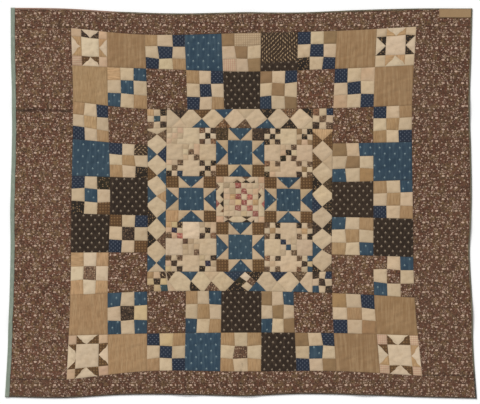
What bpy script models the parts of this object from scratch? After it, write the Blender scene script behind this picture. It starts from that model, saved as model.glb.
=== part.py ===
"""A nine-patch quilt lying flat, face up.

A ring of nine-patch, star and plain blocks surrounds a pieced medallion. Calico
borders go round the ring, and a binding is folded over each edge of the quilt.

X runs across the quilt, Y runs up it and Z points out of its face. The origin is at
the middle of the outline, level with the floor. Sizes here are in millimetres.
"""

import math
from collections import namedtuple

import bmesh
import bpy

MM = 0.001

# Thicknesses and laps
GAP = 0.4                # between pieces that lie side by side
CLEARANCE = 0.3          # between the quilt's rim and the binding round it
CORNER_GAP = 0.8         # between two bindings where they meet at a corner
SEAM_THICKNESS = 4.8     # the quilt where two blocks are joined
PUFF = 2.4               # how far the middle of a block stands above its seams
BORDER_THICKNESS = 6.2
BINDING_CLOTH = 1.0      # the binding's cloth above and below the rim
BINDING_FOLD = 1.9       # the binding's cloth at its fold
RIM_THICKNESS = 3.6      # the quilt's rim, pressed thin inside the binding
RAMP = 13.0              # over which a border thickens from its rim
WIDE_BINDING = 24.0      # lap of the left-hand binding
NARROW_BINDING = 8.0     # lap of the other three

# How finely the cloth is divided
CELLS_PER_BLOCK = 4
CELLS_PER_STAR_BLOCK = 6
CELLS_ALONG_FRAME = 12
BORDER_CELLS_PER_BLOCK = 3

# The ring's seams are counted from 0 to 9, from the left and from the top
BLOCKS = 9
RING = 2
STATIONS = (0, 2, 4.5, 7, 9)

# X of each upright seam, left to right, at five levels of the quilt
UprightSeam = namedtuple("UprightSeam", "top upper middle lower foot")
UPRIGHT_SEAMS = (
    UprightSeam(-848, -838, -845.5, -851.5, -870),
    UprightSeam(-669, -664, -653, -665.5, -661.5),
    UprightSeam(-480, -467.5, -465, -467.5, -469),
    UprightSeam(-281.5, -267.5, -270.5, -274, -280.5),
    UprightSeam(-96.5, -84, -90, -96.5, -102.5),
    UprightSeam(101, 96, 99.5, 103.5, 101),
    UprightSeam(286, 278.5, 271, 263.5, 278.5),
    UprightSeam(479.5, 462.5, 456, 456, 476),
    UprightSeam(679.5, 663.5, 662.5, 666, 696),
    UprightSeam(877, 856, 859, 868.5, 906),
)

# Y of each level seam, top to foot, at five places across the quilt
LevelSeam = namedtuple("LevelSeam", "left left_ring middle right_ring right")
LEVEL_SEAMS = (
    LevelSeam(875, 842, 849.5, 861, 882),
    LevelSeam(688.5, 672.5, 657.5, 671, 689.5),
    LevelSeam(508.5, 470, 470, 474.5, 489.5),
    LevelSeam(321, 291, 293.5, 298.5, 306),
    LevelSeam(136, 126, 116, 106, 116),
    LevelSeam(-51.5, -61.5, -66.5, -69, -78),
    LevelSeam(-246.5, -246.5, -251.5, -256.5, -269),
    LevelSeam(-459, -441.5, -439, -449, -471.5),
    LevelSeam(-661.5, -651.5, -646.5, -649, -661.5),
    LevelSeam(-881.5, -839, -840.5, -839, -863),
)

# The outline of the whole quilt: X of its sides at a Y, and Y of its ends at an X
SideStation = namedtuple("SideStation", "y left right")
SIDE_STATIONS = (
    SideStation(-969, -1178.5, 1178.5),
    SideStation(-735, -1165, 1162.5),
    SideStation(-490, -1156.5, 1156),
    SideStation(-245, -1151, 1144),
    SideStation(0, -1151, 1153.5),
    SideStation(240, -1145, 1151),
    SideStation(485, -1143, 1144),
    SideStation(730, -1148.5, 1151),
    SideStation(976.5, -1150, 1157),
)
EndStation = namedtuple("EndStation", "x top foot")
END_STATIONS = (
    EndStation(-1150, 976.5, -969),
    EndStation(-885, 973, -973.5),
    EndStation(-590, 956, -958),
    EndStation(-295, 948.5, -957.5),
    EndStation(0, 954, -964.5),
    EndStation(295, 953.5, -954),
    EndStation(590, 965.5, -959),
    EndStation(885, 973, -969.5),
    EndStation(1178.5, 973, -976.5),
)

# The star panel inside the medallion's frame, three blocks each way, has straight
# seams: X of each upright one at its two ends, and Y of each level one at its two ends
StarUpright = namedtuple("StarUpright", "top foot")
STAR_UPRIGHTS = (
    StarUpright(-370.5, -376.5),
    StarUpright(-124, -121.5),
    StarUpright(118, 118.5),
    StarUpright(358.5, 358.5),
)
StarLevel = namedtuple("StarLevel", "left right")
STAR_LEVELS = (
    StarLevel(378.5, 371),
    StarLevel(136, 128.5),
    StarLevel(-92.5, -99),
    StarLevel(-341.5, -344),
)

# Where the corner nine-patches of the frame end, counted in blocks of the ring
CornerEnds = namedtuple("CornerEnds", "first last")
FRAME_TOP = CornerEnds(2.49, 6.44)
FRAME_FOOT = CornerEnds(2.54, 6.49)
FRAME_LEFT = CornerEnds(2.55, 6.50)
FRAME_RIGHT = CornerEnds(2.60, 6.44)

# Soft ripples where the borders are a little full: each rises at the edge at a place
# along it, and dies away inwards, running a little aslant
Ripple = namedtuple("Ripple", "edge place reach width height slant")
RIPPLES = (
    Ripple("left", 481, 285, 200, 5.5, 0.06),
    Ripple("left", -60, 240, 220, 4.0, -0.10),
    Ripple("left", -600, 285, 240, 6.5, 0.12),
    Ripple("right", 470, 280, 210, 5.5, 0.05),
    Ripple("right", -130, 230, 220, 4.5, 0.10),
    Ripple("right", -560, 285, 240, 6.5, -0.12),
    Ripple("top", 35, 92, 180, 4.0, 0.10),
    Ripple("top", -540, 85, 200, 3.0, -0.15),
    Ripple("foot", -275, 95, 190, 5.0, 0.15),
    Ripple("foot", 35, 100, 180, 4.0, 0.0),
    Ripple("foot", 610, 90, 200, 4.5, -0.15),
)

# The tan strip at the top right-hand corner
STRIP_LEFT = 991.0
STRIP_RIGHT = 1150.0
STRIP_BELOW_TOP = 47.0
STRIP_MARGIN = 3.0
STRIP_CLOTH = 1.0
STRIP_CELLS = 4

CALICO = (0.141, 0.078, 0.053)
TAN = (0.371, 0.235, 0.122)
CREAM = (0.624, 0.491, 0.314)
STAR_BLUE = (0.034, 0.089, 0.162)
RED = (0.27, 0.075, 0.05)
VERDIGRIS = (0.242, 0.283, 0.223)
DARK_EDGE = (0.05, 0.036, 0.028)


def clear_scene():
    """Remove what the file opened with."""
    for found in list(bpy.data.objects):
        bpy.data.objects.remove(found, do_unlink=True)


def cloth_material(name, colour, roughness=0.92):
    """A matt cotton in one colour."""
    material = bpy.data.materials.new(name)
    material.use_nodes = True
    shader = material.node_tree.nodes["Principled BSDF"]
    shader.inputs["Base Color"].default_value = (*colour, 1.0)
    shader.inputs["Roughness"].default_value = roughness
    shader.inputs["Metallic"].default_value = 0.0
    return material


def mix(a, b, share):
    """The number that lies a share of the way from a to b."""
    return a + (b - a) * share


def between(a, b, share):
    """The plan point that lies a share of the way from a to b."""
    return (mix(a[0], b[0], share), mix(a[1], b[1], share))


def smooth(places, values, place):
    """A smooth curve through values that stand at rising places, level beyond its ends."""
    if place <= places[0]:
        return values[0]
    if place >= places[-1]:
        return values[-1]
    last = len(places) - 1
    slopes = []
    for i in range(last + 1):
        before = max(i - 1, 0)
        after = min(i + 1, last)
        slopes.append((values[after] - values[before]) / (places[after] - places[before]))
    i = max(k for k in range(last) if places[k] <= place)
    span = places[i + 1] - places[i]
    t = (place - places[i]) / span
    start = values[i] * (1 + 2 * t) * (1 - t) ** 2 + slopes[i] * span * t * (1 - t) ** 2
    end = values[i + 1] * (3 - 2 * t) * t ** 2 - slopes[i + 1] * span * t ** 2 * (1 - t)
    return start + end


def seam_point(u, v):
    """Plan point of the ring, u blocks from its left side and v blocks from its top."""
    column = min(int(u), BLOCKS - 1)
    row = min(int(v), BLOCKS - 1)
    x = mix(
        smooth(STATIONS, UPRIGHT_SEAMS[column], v),
        smooth(STATIONS, UPRIGHT_SEAMS[column + 1], v),
        u - column,
    )
    y = mix(
        smooth(STATIONS, LEVEL_SEAMS[row], u),
        smooth(STATIONS, LEVEL_SEAMS[row + 1], u),
        v - row,
    )
    return (x, y)


def star_point(p, q):
    """Plan point of the star panel, p blocks from its left side and q from its top."""
    columns = len(STAR_UPRIGHTS) - 1
    column = min(int(p), columns - 1)
    row = min(int(q), columns - 1)
    uprights = [mix(seam.top, seam.foot, q / columns) for seam in STAR_UPRIGHTS]
    levels = [mix(seam.left, seam.right, p / columns) for seam in STAR_LEVELS]
    x = mix(uprights[column], uprights[column + 1], p - column)
    y = mix(levels[row], levels[row + 1], q - row)
    return (x, y)


def left_edge(y):
    """X of the quilt's left-hand side at a Y."""
    return smooth([s.y for s in SIDE_STATIONS], [s.left for s in SIDE_STATIONS], y)


def right_edge(y):
    """X of the quilt's right-hand side at a Y."""
    return smooth([s.y for s in SIDE_STATIONS], [s.right for s in SIDE_STATIONS], y)


def top_edge(x):
    """Y of the quilt's top at an X."""
    return smooth([s.x for s in END_STATIONS], [s.top for s in END_STATIONS], x)


def foot_edge(x):
    """Y of the quilt's foot at an X."""
    return smooth([s.x for s in END_STATIONS], [s.foot for s in END_STATIONS], x)


def ripple_lift(x, y):
    """How far the quilt is off the floor at a plan point."""
    lift = 0.0
    for ripple in RIPPLES:
        if ripple.edge in ("left", "right"):
            along = y
            inwards = x - left_edge(y) if ripple.edge == "left" else right_edge(y) - x
        else:
            along = x
            inwards = top_edge(x) - y if ripple.edge == "top" else y - foot_edge(x)
        aside = along - ripple.place - ripple.slant * inwards
        if inwards < ripple.reach and abs(aside) < ripple.width / 2:
            fading = math.cos(math.pi / 2 * max(inwards, 0.0) / ripple.reach) ** 2
            lift += ripple.height * fading * math.cos(math.pi * aside / ripple.width) ** 2
    return lift


def steps(first, last, count):
    """Evenly spaced numbers from first to last, with count gaps between them."""
    return [mix(first, last, i / count) for i in range(count + 1)]


def inset(plan):
    """Draw the rim of a grid of plan points in by half a gap, away from its neighbours."""
    rows = len(plan)
    columns = len(plan[0])
    drawn = [list(row) for row in plan]
    for r in range(rows):
        for c in range(columns):
            inner = []
            if r in (0, rows - 1):
                inner.append(plan[1 if r == 0 else rows - 2][c])
            if c in (0, columns - 1):
                inner.append(plan[r][1 if c == 0 else columns - 2])
            x, y = plan[r][c]
            for point in inner:
                reach = math.hypot(point[0] - plan[r][c][0], point[1] - plan[r][c][1])
                x += (point[0] - plan[r][c][0]) / reach * GAP / 2
                y += (point[1] - plan[r][c][1]) / reach * GAP / 2
            drawn[r][c] = (x, y)
    return drawn


def add_mesh_object(name, shape, material):
    """Turn a bmesh in millimetres into a named object in metres."""
    bmesh.ops.recalc_face_normals(shape, faces=shape.faces)
    bmesh.ops.scale(shape, vec=(MM, MM, MM), verts=shape.verts)
    mesh = bpy.data.meshes.new(name)
    shape.to_mesh(mesh)
    shape.free()
    mesh.materials.append(material)
    made = bpy.data.objects.new(name, mesh)
    bpy.context.scene.collection.objects.link(made)
    return made


def rim_of(grid):
    """The outer points of a grid, in order round it."""
    rows = len(grid)
    columns = len(grid[0])
    rim = [grid[0][c] for c in range(columns)]
    rim += [grid[r][columns - 1] for r in range(1, rows)]
    rim += [grid[rows - 1][c] for c in range(columns - 2, -1, -1)]
    rim += [grid[r][0] for r in range(rows - 2, 0, -1)]
    return rim


def add_grid_faces(shape, grid):
    """Cover a grid of vertices with four-sided faces."""
    for r in range(len(grid) - 1):
        for c in range(len(grid[0]) - 1):
            shape.faces.new((grid[r][c], grid[r][c + 1], grid[r + 1][c + 1], grid[r + 1][c]))


def quilted_sheet(name, plan, low, high, material):
    """A closed sheet over a grid of plan points, between its undersides and its tops.

    A sheet that lies flat all over has one face beneath, and a rippled one has a grid.
    """
    shape = bmesh.new()
    drawn = inset(plan)
    tops = []
    for points, heights in zip(drawn, high):
        tops.append([shape.verts.new((*point, z)) for point, z in zip(points, heights)])
    add_grid_faces(shape, tops)
    top_rim = rim_of(tops)
    if max(max(heights) for heights in low) > 0:
        undersides = []
        for points, heights in zip(drawn, low):
            undersides.append([shape.verts.new((*point, z)) for point, z in zip(points, heights)])
        add_grid_faces(shape, undersides)
        low_rim = rim_of(undersides)
    else:
        low_rim = [shape.verts.new((vertex.co.x, vertex.co.y, 0.0)) for vertex in top_rim]
        shape.faces.new(low_rim)
    for i, vertex in enumerate(top_rim):
        after = (i + 1) % len(top_rim)
        shape.faces.new((vertex, top_rim[after], low_rim[after], low_rim[i]))
    return add_mesh_object(name, shape, material)


def hump(share):
    """A flat-topped rise from 0 at one seam to 1 between the seams and back to 0."""
    return 1 - (2 * share - 1) ** 4


def puffed_heights(rows, columns, cells, seed):
    """Tops of a grid of blocks, each puffed between its seams and no two quite alike."""
    heights = []
    for r in range(rows + 1):
        line = []
        for c in range(columns + 1):
            unevenness = 0.88 + 0.12 * math.sin(2.1 * (c // cells) + 1.3 * (r // cells) + seed)
            rise = hump(r % cells / cells) * hump(c % cells / cells)
            line.append(SEAM_THICKNESS + PUFF * unevenness * rise)
        heights.append(line)
    return heights


def flat_undersides(plan):
    """Undersides of a sheet that lies on the floor all over."""
    return [[0.0] * len(row) for row in plan]


def make_block_row(name, first, last, row, material):
    """One row of the ring's blocks, sewn side by side."""
    columns = (last - first) * CELLS_PER_BLOCK
    plan = [
        [seam_point(u, v) for u in steps(first, last, columns)]
        for v in steps(row, row + 1, CELLS_PER_BLOCK)
    ]
    high = puffed_heights(CELLS_PER_BLOCK, columns, CELLS_PER_BLOCK, row + first)
    quilted_sheet(name, plan, flat_undersides(plan), high, material)


def make_block_rows(material):
    """The ring: full rows above and below the medallion, pairs at its sides."""
    for row in range(BLOCKS):
        if row < RING or row >= BLOCKS - RING:
            make_block_row(f"block_row_{row + 1}", 0, BLOCKS, row, material)
        else:
            make_block_row(f"block_pair_left_{row + 1}", 0, RING, row, material)
            make_block_row(f"block_pair_right_{row + 1}", BLOCKS - RING, BLOCKS, row, material)


def make_star_block(name, column, row, material):
    """One block of the star panel, with the nine squares it is sewn from puffed."""
    cells = CELLS_PER_STAR_BLOCK
    plan = [
        [star_point(p, q) for p in steps(column, column + 1, cells)]
        for q in steps(row, row + 1, cells)
    ]
    high = puffed_heights(cells, cells, 2, column + 2 * row)
    quilted_sheet(name, plan, flat_undersides(plan), high, material)


def make_star_panel(pale, blue, red):
    """Three rows of three blocks: double nine-patches, stars and the centre block."""
    layout = (
        (("double_nine_patch_nw", pale), ("star_north", blue), ("double_nine_patch_ne", pale)),
        (("star_west", blue), ("centre_block", red), ("star_east", blue)),
        (("double_nine_patch_sw", pale), ("star_south", blue), ("double_nine_patch_se", pale)),
    )
    for row, blocks in enumerate(layout):
        for column, (name, material) in enumerate(blocks):
            make_star_block(name, column, row, material)


def make_ruled_panel(name, outer, inner, material):
    """A puffed strip between an outer and an inner line of plan points."""
    middle = [between(a, b, 0.5) for a, b in zip(outer, inner)]
    plan = [outer, middle, inner]
    high = puffed_heights(2, len(outer) - 1, 2, 0.0)
    for c in range(1, len(outer) - 1):
        high[1][c] = SEAM_THICKNESS + PUFF
    quilted_sheet(name, plan, flat_undersides(plan), high, material)


def make_medallion_frame(pale):
    """Four strips of squares on point and four small nine-patches at their corners."""
    near = RING
    far = BLOCKS - RING
    end = len(STAR_UPRIGHTS) - 1
    sides = (
        ("diamond_strip_top", [(u, near) for u in steps(*FRAME_TOP, CELLS_ALONG_FRAME)], (0, 0), (end, 0)),
        ("diamond_strip_foot", [(u, far) for u in steps(*FRAME_FOOT, CELLS_ALONG_FRAME)], (0, end), (end, end)),
        ("diamond_strip_left", [(near, v) for v in steps(*FRAME_LEFT, CELLS_ALONG_FRAME)], (0, 0), (0, end)),
        ("diamond_strip_right", [(far, v) for v in steps(*FRAME_RIGHT, CELLS_ALONG_FRAME)], (end, 0), (end, end)),
    )
    for name, outer_places, inner_start, inner_end in sides:
        outer = [seam_point(u, v) for u, v in outer_places]
        start = star_point(*inner_start)
        finish = star_point(*inner_end)
        inner = [between(start, finish, share) for share in steps(0, 1, CELLS_ALONG_FRAME)]
        make_ruled_panel(name, outer, inner, pale)
    corners = (
        ("frame_nine_patch_nw", (near, near), (FRAME_TOP.first, near), (near, FRAME_LEFT.first), (0, 0)),
        ("frame_nine_patch_ne", (far, near), (FRAME_TOP.last, near), (far, FRAME_RIGHT.first), (end, 0)),
        ("frame_nine_patch_sw", (near, far), (FRAME_FOOT.first, far), (near, FRAME_LEFT.last), (0, end)),
        ("frame_nine_patch_se", (far, far), (FRAME_FOOT.last, far), (far, FRAME_RIGHT.last), (end, end)),
    )
    for name, outermost, along_level, along_upright, innermost in corners:
        outer_start = seam_point(*outermost)
        outer_end = seam_point(*along_level)
        outer = [outer_start, between(outer_start, outer_end, 0.5), outer_end]
        inner_start = seam_point(*along_upright)
        inner_end = star_point(*innermost)
        inner = [inner_start, between(inner_start, inner_end, 0.5), inner_end]
        make_ruled_panel(name, outer, inner, pale)


def distances_inwards(lap, width, fine):
    """Distances from the quilt's edge of a border's grid lines, rim first."""
    rim_end = lap + 1.0
    ramp_end = rim_end + RAMP
    return [BINDING_FOLD + CLEARANCE, rim_end] + steps(ramp_end, width, fine)


def thickening(distance, lap):
    """0 on the rim inside a binding, 1 where the border has its full thickness."""
    return min(max((distance - lap - 1.0) / RAMP, 0.0), 1.0)


def border_heights(point, share, on_seam):
    """Underside and top of a border at a plan point, a share of the way from rim to full."""
    lift = ripple_lift(*point)
    rim_low = BINDING_CLOTH + CLEARANCE
    low = mix(rim_low, 0.0, share)
    high = mix(rim_low + RIM_THICKNESS, BORDER_THICKNESS, share)
    if on_seam:
        high = min(high, SEAM_THICKNESS)
    return lift + low, lift + high


def make_border(name, plan, shares, seams, material):
    """A calico border over a grid of plan points."""
    low = []
    high = []
    for points, row_shares, row_seams in zip(plan, shares, seams):
        pairs = [border_heights(*place) for place in zip(points, row_shares, row_seams)]
        low.append([pair[0] for pair in pairs])
        high.append([pair[1] for pair in pairs])
    quilted_sheet(name, plan, low, high, material)


def make_side_border(name, edge, seam, lap, material):
    """A wide strip of calico from a side of the quilt to the ring."""
    plan = []
    shares = []
    seams = []
    levels = steps(0, BLOCKS, BLOCKS * BORDER_CELLS_PER_BLOCK)
    for v in levels:
        inner = seam_point(seam, v)
        outer = (edge(inner[1]), inner[1])
        width = abs(inner[0] - outer[0])
        distances = distances_inwards(lap, width, 3)
        plan.append([between(outer, inner, distance / width) for distance in distances])
        shares.append([thickening(distance, lap) for distance in distances])
        at_end = v in (levels[0], levels[-1])
        seams.append([at_end or distance == distances[-1] for distance in distances])
    make_border(name, plan, shares, seams, material)


def end_columns(edge, row):
    """Columns of a top or foot border: inner point, outer point, and place in the rim."""
    inner_left = seam_point(0, row)
    inner_right = seam_point(BLOCKS, row)
    columns = []
    left_lap = distances_inwards(WIDE_BINDING, inner_left[0] - left_edge(inner_left[1]), 3)
    for distance in left_lap[:-1]:
        inner = (left_edge(inner_left[1]) + distance, inner_left[1])
        outer_y = edge(left_edge(edge(inner[0])) + distance)
        outer = (left_edge(outer_y) + distance, outer_y)
        columns.append((inner, outer, thickening(distance, WIDE_BINDING)))
    for u in steps(0, BLOCKS, BLOCKS * BORDER_CELLS_PER_BLOCK):
        inner = seam_point(u, row)
        columns.append((inner, (inner[0], edge(inner[0])), 1.0))
    right_lap = distances_inwards(NARROW_BINDING, right_edge(inner_right[1]) - inner_right[0], 3)
    for distance in reversed(right_lap[:-1]):
        inner = (right_edge(inner_right[1]) - distance, inner_right[1])
        outer_y = edge(right_edge(edge(inner[0])) - distance)
        outer = (right_edge(outer_y) - distance, outer_y)
        columns.append((inner, outer, thickening(distance, NARROW_BINDING)))
    return columns


def make_end_border(name, edge, row, material):
    """A narrow strip of calico across the whole top or foot of the quilt."""
    plan = []
    shares = []
    seams = []
    for inner, outer, side_share in end_columns(edge, row):
        width = abs(inner[1] - outer[1])
        distances = distances_inwards(NARROW_BINDING, width, 2)
        plan.append([between(outer, inner, distance / width) for distance in distances])
        shares.append([min(side_share, thickening(distance, NARROW_BINDING)) for distance in distances])
        seams.append([distance == distances[-1] for distance in distances])
    make_border(name, plan, shares, seams, material)


def binding_profile(lap):
    """Section of a binding, open inwards: distance from the quilt's edge, and height."""
    height = 2 * (BINDING_CLOTH + CLEARANCE) + RIM_THICKNESS
    roundness = 1.2
    return (
        (lap, 0.0),
        (roundness, 0.0),
        (0.0, height / 2),
        (roundness, height),
        (lap, height),
        (lap, height - BINDING_CLOTH),
        (BINDING_FOLD, height - BINDING_CLOTH),
        (BINDING_FOLD, BINDING_CLOTH),
        (lap, BINDING_CLOTH),
    )


def make_binding(name, edge_points, inwards, lap, material):
    """Cloth folded over an edge: its section carried along points on that edge."""
    shape = bmesh.new()
    rings = []
    for x, y in edge_points:
        ring = []
        for distance, height in binding_profile(lap):
            px = x + inwards[0] * distance
            py = y + inwards[1] * distance
            ring.append(shape.verts.new((px, py, height + ripple_lift(px, py))))
        rings.append(ring)
    count = len(rings[0])
    for ring, after in zip(rings, rings[1:]):
        for i in range(count):
            k = (i + 1) % count
            shape.faces.new((ring[i], ring[k], after[k], after[i]))
    shape.faces.new(rings[0])
    shape.faces.new(rings[-1])
    add_mesh_object(name, shape, material)


def make_side_binding(name, edge, seam, inward, lap, material):
    """The binding down a whole side, its ends level with the quilt's corners."""
    levels = steps(0, BLOCKS, BLOCKS * BORDER_CELLS_PER_BLOCK)
    heights = [seam_point(seam, v)[1] for v in levels]
    corner_x = edge(heights[0])
    heights = [top_edge(corner_x)] + heights + [foot_edge(edge(heights[-1]))]
    make_binding(name, [(edge(y), y) for y in heights], (inward, 0.0), lap, material)


def make_end_binding(name, edge, row, inward, material):
    """The binding across the top or foot, between those of the sides."""
    corner_left = left_edge(edge(END_STATIONS[0].x)) + WIDE_BINDING + CORNER_GAP
    corner_right = right_edge(edge(END_STATIONS[-1].x)) - NARROW_BINDING - CORNER_GAP
    places = [corner_left]
    for _, outer, share in end_columns(edge, row):
        if share == 1.0:
            places.append(outer[0])
    places.append(corner_right)
    make_binding(name, [(x, edge(x)) for x in places], (0.0, inward), NARROW_BINDING, material)


def make_corner_strip(material):
    """The short tan strip that lies on the top edge at the right-hand corner."""
    base = 2 * (BINDING_CLOTH + CLEARANCE) + RIM_THICKNESS + CLEARANCE
    plan = []
    for x in steps(STRIP_LEFT, STRIP_RIGHT, STRIP_CELLS):
        top = top_edge(x) - STRIP_MARGIN
        plan.append([(x, top), (x, top_edge(x) - STRIP_BELOW_TOP)])
    low = [[base, base] for _ in plan]
    high = [[base + STRIP_CLOTH, base + STRIP_CLOTH] for _ in plan]
    quilted_sheet("corner_strip", plan, low, high, material)


def main():
    clear_scene()
    calico = cloth_material("brown_calico", CALICO)
    tan = cloth_material("tan_cotton", TAN)
    cream = cloth_material("cream_cotton", CREAM)
    blue = cloth_material("blue_print", STAR_BLUE)
    red = cloth_material("red_print", RED)
    verdigris = cloth_material("verdigris_binding", VERDIGRIS)
    dark = cloth_material("dark_binding", DARK_EDGE)

    make_block_rows(tan)
    make_star_panel(cream, blue, red)
    make_medallion_frame(cream)

    make_side_border("border_left", left_edge, 0, WIDE_BINDING, calico)
    make_side_border("border_right", right_edge, BLOCKS, NARROW_BINDING, calico)
    make_end_border("border_top", top_edge, 0, calico)
    make_end_border("border_foot", foot_edge, BLOCKS, calico)

    make_side_binding("binding_left", left_edge, 0, 1.0, WIDE_BINDING, verdigris)
    make_side_binding("binding_right", right_edge, BLOCKS, -1.0, NARROW_BINDING, dark)
    make_end_binding("binding_top", top_edge, 0, -1.0, dark)
    make_end_binding("binding_foot", foot_edge, BLOCKS, 1.0, dark)

    make_corner_strip(tan)


main()
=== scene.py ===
"""A nine-patch quilt lying face up on a pale floor.

The quilt is made as it was sewn: the block rows of its ring, the star panel inside a
frame of squares on point, the calico borders and the bindings. Each piece is closed
cloth, puffed between its seams. Its patches are charted: a letter stands for
a cloth, and two letters with a stroke between them for a square cut by a slanting seam.

X runs across the quilt, Y runs up it and Z points out of its face. The tables are in
millimetres from the middle of the quilt.
"""

import math
import random
from collections import namedtuple

import bpy
import numpy as np
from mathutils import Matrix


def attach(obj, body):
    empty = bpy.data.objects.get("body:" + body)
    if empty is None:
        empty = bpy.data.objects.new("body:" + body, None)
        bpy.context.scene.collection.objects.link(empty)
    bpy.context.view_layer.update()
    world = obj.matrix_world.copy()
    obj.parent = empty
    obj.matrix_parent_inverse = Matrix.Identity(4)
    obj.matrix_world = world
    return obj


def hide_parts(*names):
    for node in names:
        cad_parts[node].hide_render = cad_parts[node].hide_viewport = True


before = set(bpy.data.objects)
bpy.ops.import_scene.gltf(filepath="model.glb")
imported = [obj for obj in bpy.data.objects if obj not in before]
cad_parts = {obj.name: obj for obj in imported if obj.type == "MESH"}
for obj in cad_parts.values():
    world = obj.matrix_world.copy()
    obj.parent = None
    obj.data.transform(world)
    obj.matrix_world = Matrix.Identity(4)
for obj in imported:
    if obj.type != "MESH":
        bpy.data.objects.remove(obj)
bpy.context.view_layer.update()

MM = 0.001

# Thicknesses and laps
SEAM_THICKNESS = 4.8
NARROWEST_PATCH = 3.0
SEAM_DIP = 0.7
PUFF = 2.4
PUFF_REACH = 7.0
PATCH_CROWN = 0.85
BORDER_THICKNESS = 6.2
BINDING_CLOTH = 1.0
BINDING_FOLD = 1.9
FOLD_INSET = 1.6
CLEARANCE = 0.3
RIM_THICKNESS = 3.6
RAMP = 13.0
WIDE_BINDING = 21.5
NARROW_BINDING = 8.0
BINDING_LAP_CORNER = 16
CORNER_GAP = 0.8

# How far from a seam its dip, its darkening of soil and painted shade, and a border's thinning reach
DIP_REACH = 2.5
SOIL_AND_SHADE_REACH = 3.0
THINNING_REACH = 5.0

# How far a crease strays from its line, over what length, and the depth at which its painted shade is
# darkest
CREASE_STRAY = 2.5
STRAY_LENGTH = 37.0
FULL_SHADE_DEPTH = 1.1

# How finely the cloth is divided
FIRST_STEP = 1.5
STEP_GROWTH = 1.45
LARGEST_STEP = 6.0

# The ring's seams are counted from 0 to 9, from the left and from the top
BLOCKS = 9
RING = 2
BLOCK_SIZE = 190.0
STATIONS = (0, 2, 4.5, 7, 9)

# X of each upright seam, left to right, at five levels of the quilt
UPRIGHT_SEAMS = (
    (-848, -838, -845.5, -851.5, -870),
    (-669, -664, -653, -665.5, -661.5),
    (-480, -467.5, -465, -467.5, -469),
    (-281.5, -267.5, -270.5, -274, -280.5),
    (-96.5, -84, -90, -96.5, -102.5),
    (101, 96, 99.5, 103.5, 101),
    (286, 278.5, 271, 263.5, 278.5),
    (479.5, 462.5, 456, 456, 476),
    (679.5, 663.5, 662.5, 666, 696),
    (877, 856, 859, 868.5, 906),
)

# Y of each level seam, top to foot, at five places across the quilt
LEVEL_SEAMS = (
    (875, 842, 849.5, 861, 882),
    (688.5, 672.5, 657.5, 671, 689.5),
    (508.5, 470, 470, 474.5, 489.5),
    (321, 291, 293.5, 298.5, 306),
    (136, 126, 116, 106, 116),
    (-51.5, -61.5, -66.5, -69, -78),
    (-246.5, -246.5, -251.5, -256.5, -269),
    (-459, -441.5, -439, -449, -471.5),
    (-661.5, -651.5, -646.5, -649, -661.5),
    (-881.5, -839, -840.5, -839, -863),
)

# The outline of the whole quilt: X of its sides at a Y, and Y of its ends at an X
SideStation = namedtuple("SideStation", "y left right")
SIDE_STATIONS = (
    SideStation(-969, -1178.5, 1178.5),
    SideStation(-735, -1165, 1162.5),
    SideStation(-490, -1156.5, 1156),
    SideStation(-245, -1151, 1144),
    SideStation(0, -1151, 1153.5),
    SideStation(240, -1145, 1151),
    SideStation(485, -1143, 1144),
    SideStation(730, -1148.5, 1151),
    SideStation(976.5, -1150, 1157),
)
EndStation = namedtuple("EndStation", "x top foot")
END_STATIONS = (
    EndStation(-1150, 976.5, -969),
    EndStation(-885, 973, -973.5),
    EndStation(-590, 956, -958),
    EndStation(-295, 948.5, -957.5),
    EndStation(0, 954, -964.5),
    EndStation(295, 953.5, -954),
    EndStation(590, 965.5, -959),
    EndStation(885, 973, -969.5),
    EndStation(1178.5, 973, -976.5),
)

# Seams of the star panel, three blocks each way: X of the upright ones at their top
# and foot, and Y of the level ones at their left and right
STAR_BLOCKS = 3
STAR_BLOCK_SIZE = 242.0
STAR_UPRIGHTS = ((-370.5, -376.5), (-124, -121.5), (118, 118.5), (358.5, 358.5))
STAR_LEVELS = ((378.5, 371), (136, 128.5), (-92.5, -99), (-341.5, -344))

# The frame's width, the size of its corner nine-patches, and where they end, counted in
# blocks of the ring
FRAME_WIDTH = 92.0
CORNER_NINE_SIZE = 95.0
CornerEnds = namedtuple("CornerEnds", "first last")
FRAME_TOP = CornerEnds(2.49, 6.44)
FRAME_FOOT = CornerEnds(2.54, 6.49)
FRAME_LEFT = CornerEnds(2.55, 6.50)
FRAME_RIGHT = CornerEnds(2.60, 6.44)

# Soft ripples where the borders are a little full
Ripple = namedtuple("Ripple", "edge place reach width height slant")
RIPPLES = (
    Ripple("left", 481, 285, 200, 5.5, 0.06),
    Ripple("left", -60, 240, 220, 4.0, -0.10),
    Ripple("left", -600, 285, 240, 6.5, 0.12),
    Ripple("right", 470, 280, 210, 5.5, 0.05),
    Ripple("right", -130, 230, 220, 4.5, 0.10),
    Ripple("right", -560, 285, 240, 6.5, -0.12),
    Ripple("top", 35, 92, 180, 4.0, 0.10),
    Ripple("top", -540, 85, 200, 3.0, -0.15),
    Ripple("foot", -275, 95, 190, 5.0, 0.15),
    Ripple("foot", 35, 100, 180, 4.0, 0.0),
    Ripple("foot", 610, 90, 200, 4.5, -0.15),
)

# Folds that were pressed in while the quilt was stored: two ends, depth and half width
Crease = namedtuple("Crease", "x1 y1 x2 y2 depth width")
CREASES = (
    Crease(-1150, 470, -1050, 462, 3.6, 9.5),
    Crease(-1050, 462, -845, 461, 3.0, 7.5),
    Crease(880, 462, 1150, 474, 1.3, 5.0),
    Crease(8, 938, 12, 892, 2.8, 3.6),
    Crease(-276, -858, -277, -955, 1.9, 7.0),
    Crease(5, -800, 2, -940, 2.2, 3.6),
    Crease(38, -860, 42, -955, 2.2, 3.6),
    Crease(303, -858, 304, -955, 2.0, 4.0),
    Crease(22, -780, 20, -842, 1.0, 3.0),
)

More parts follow.
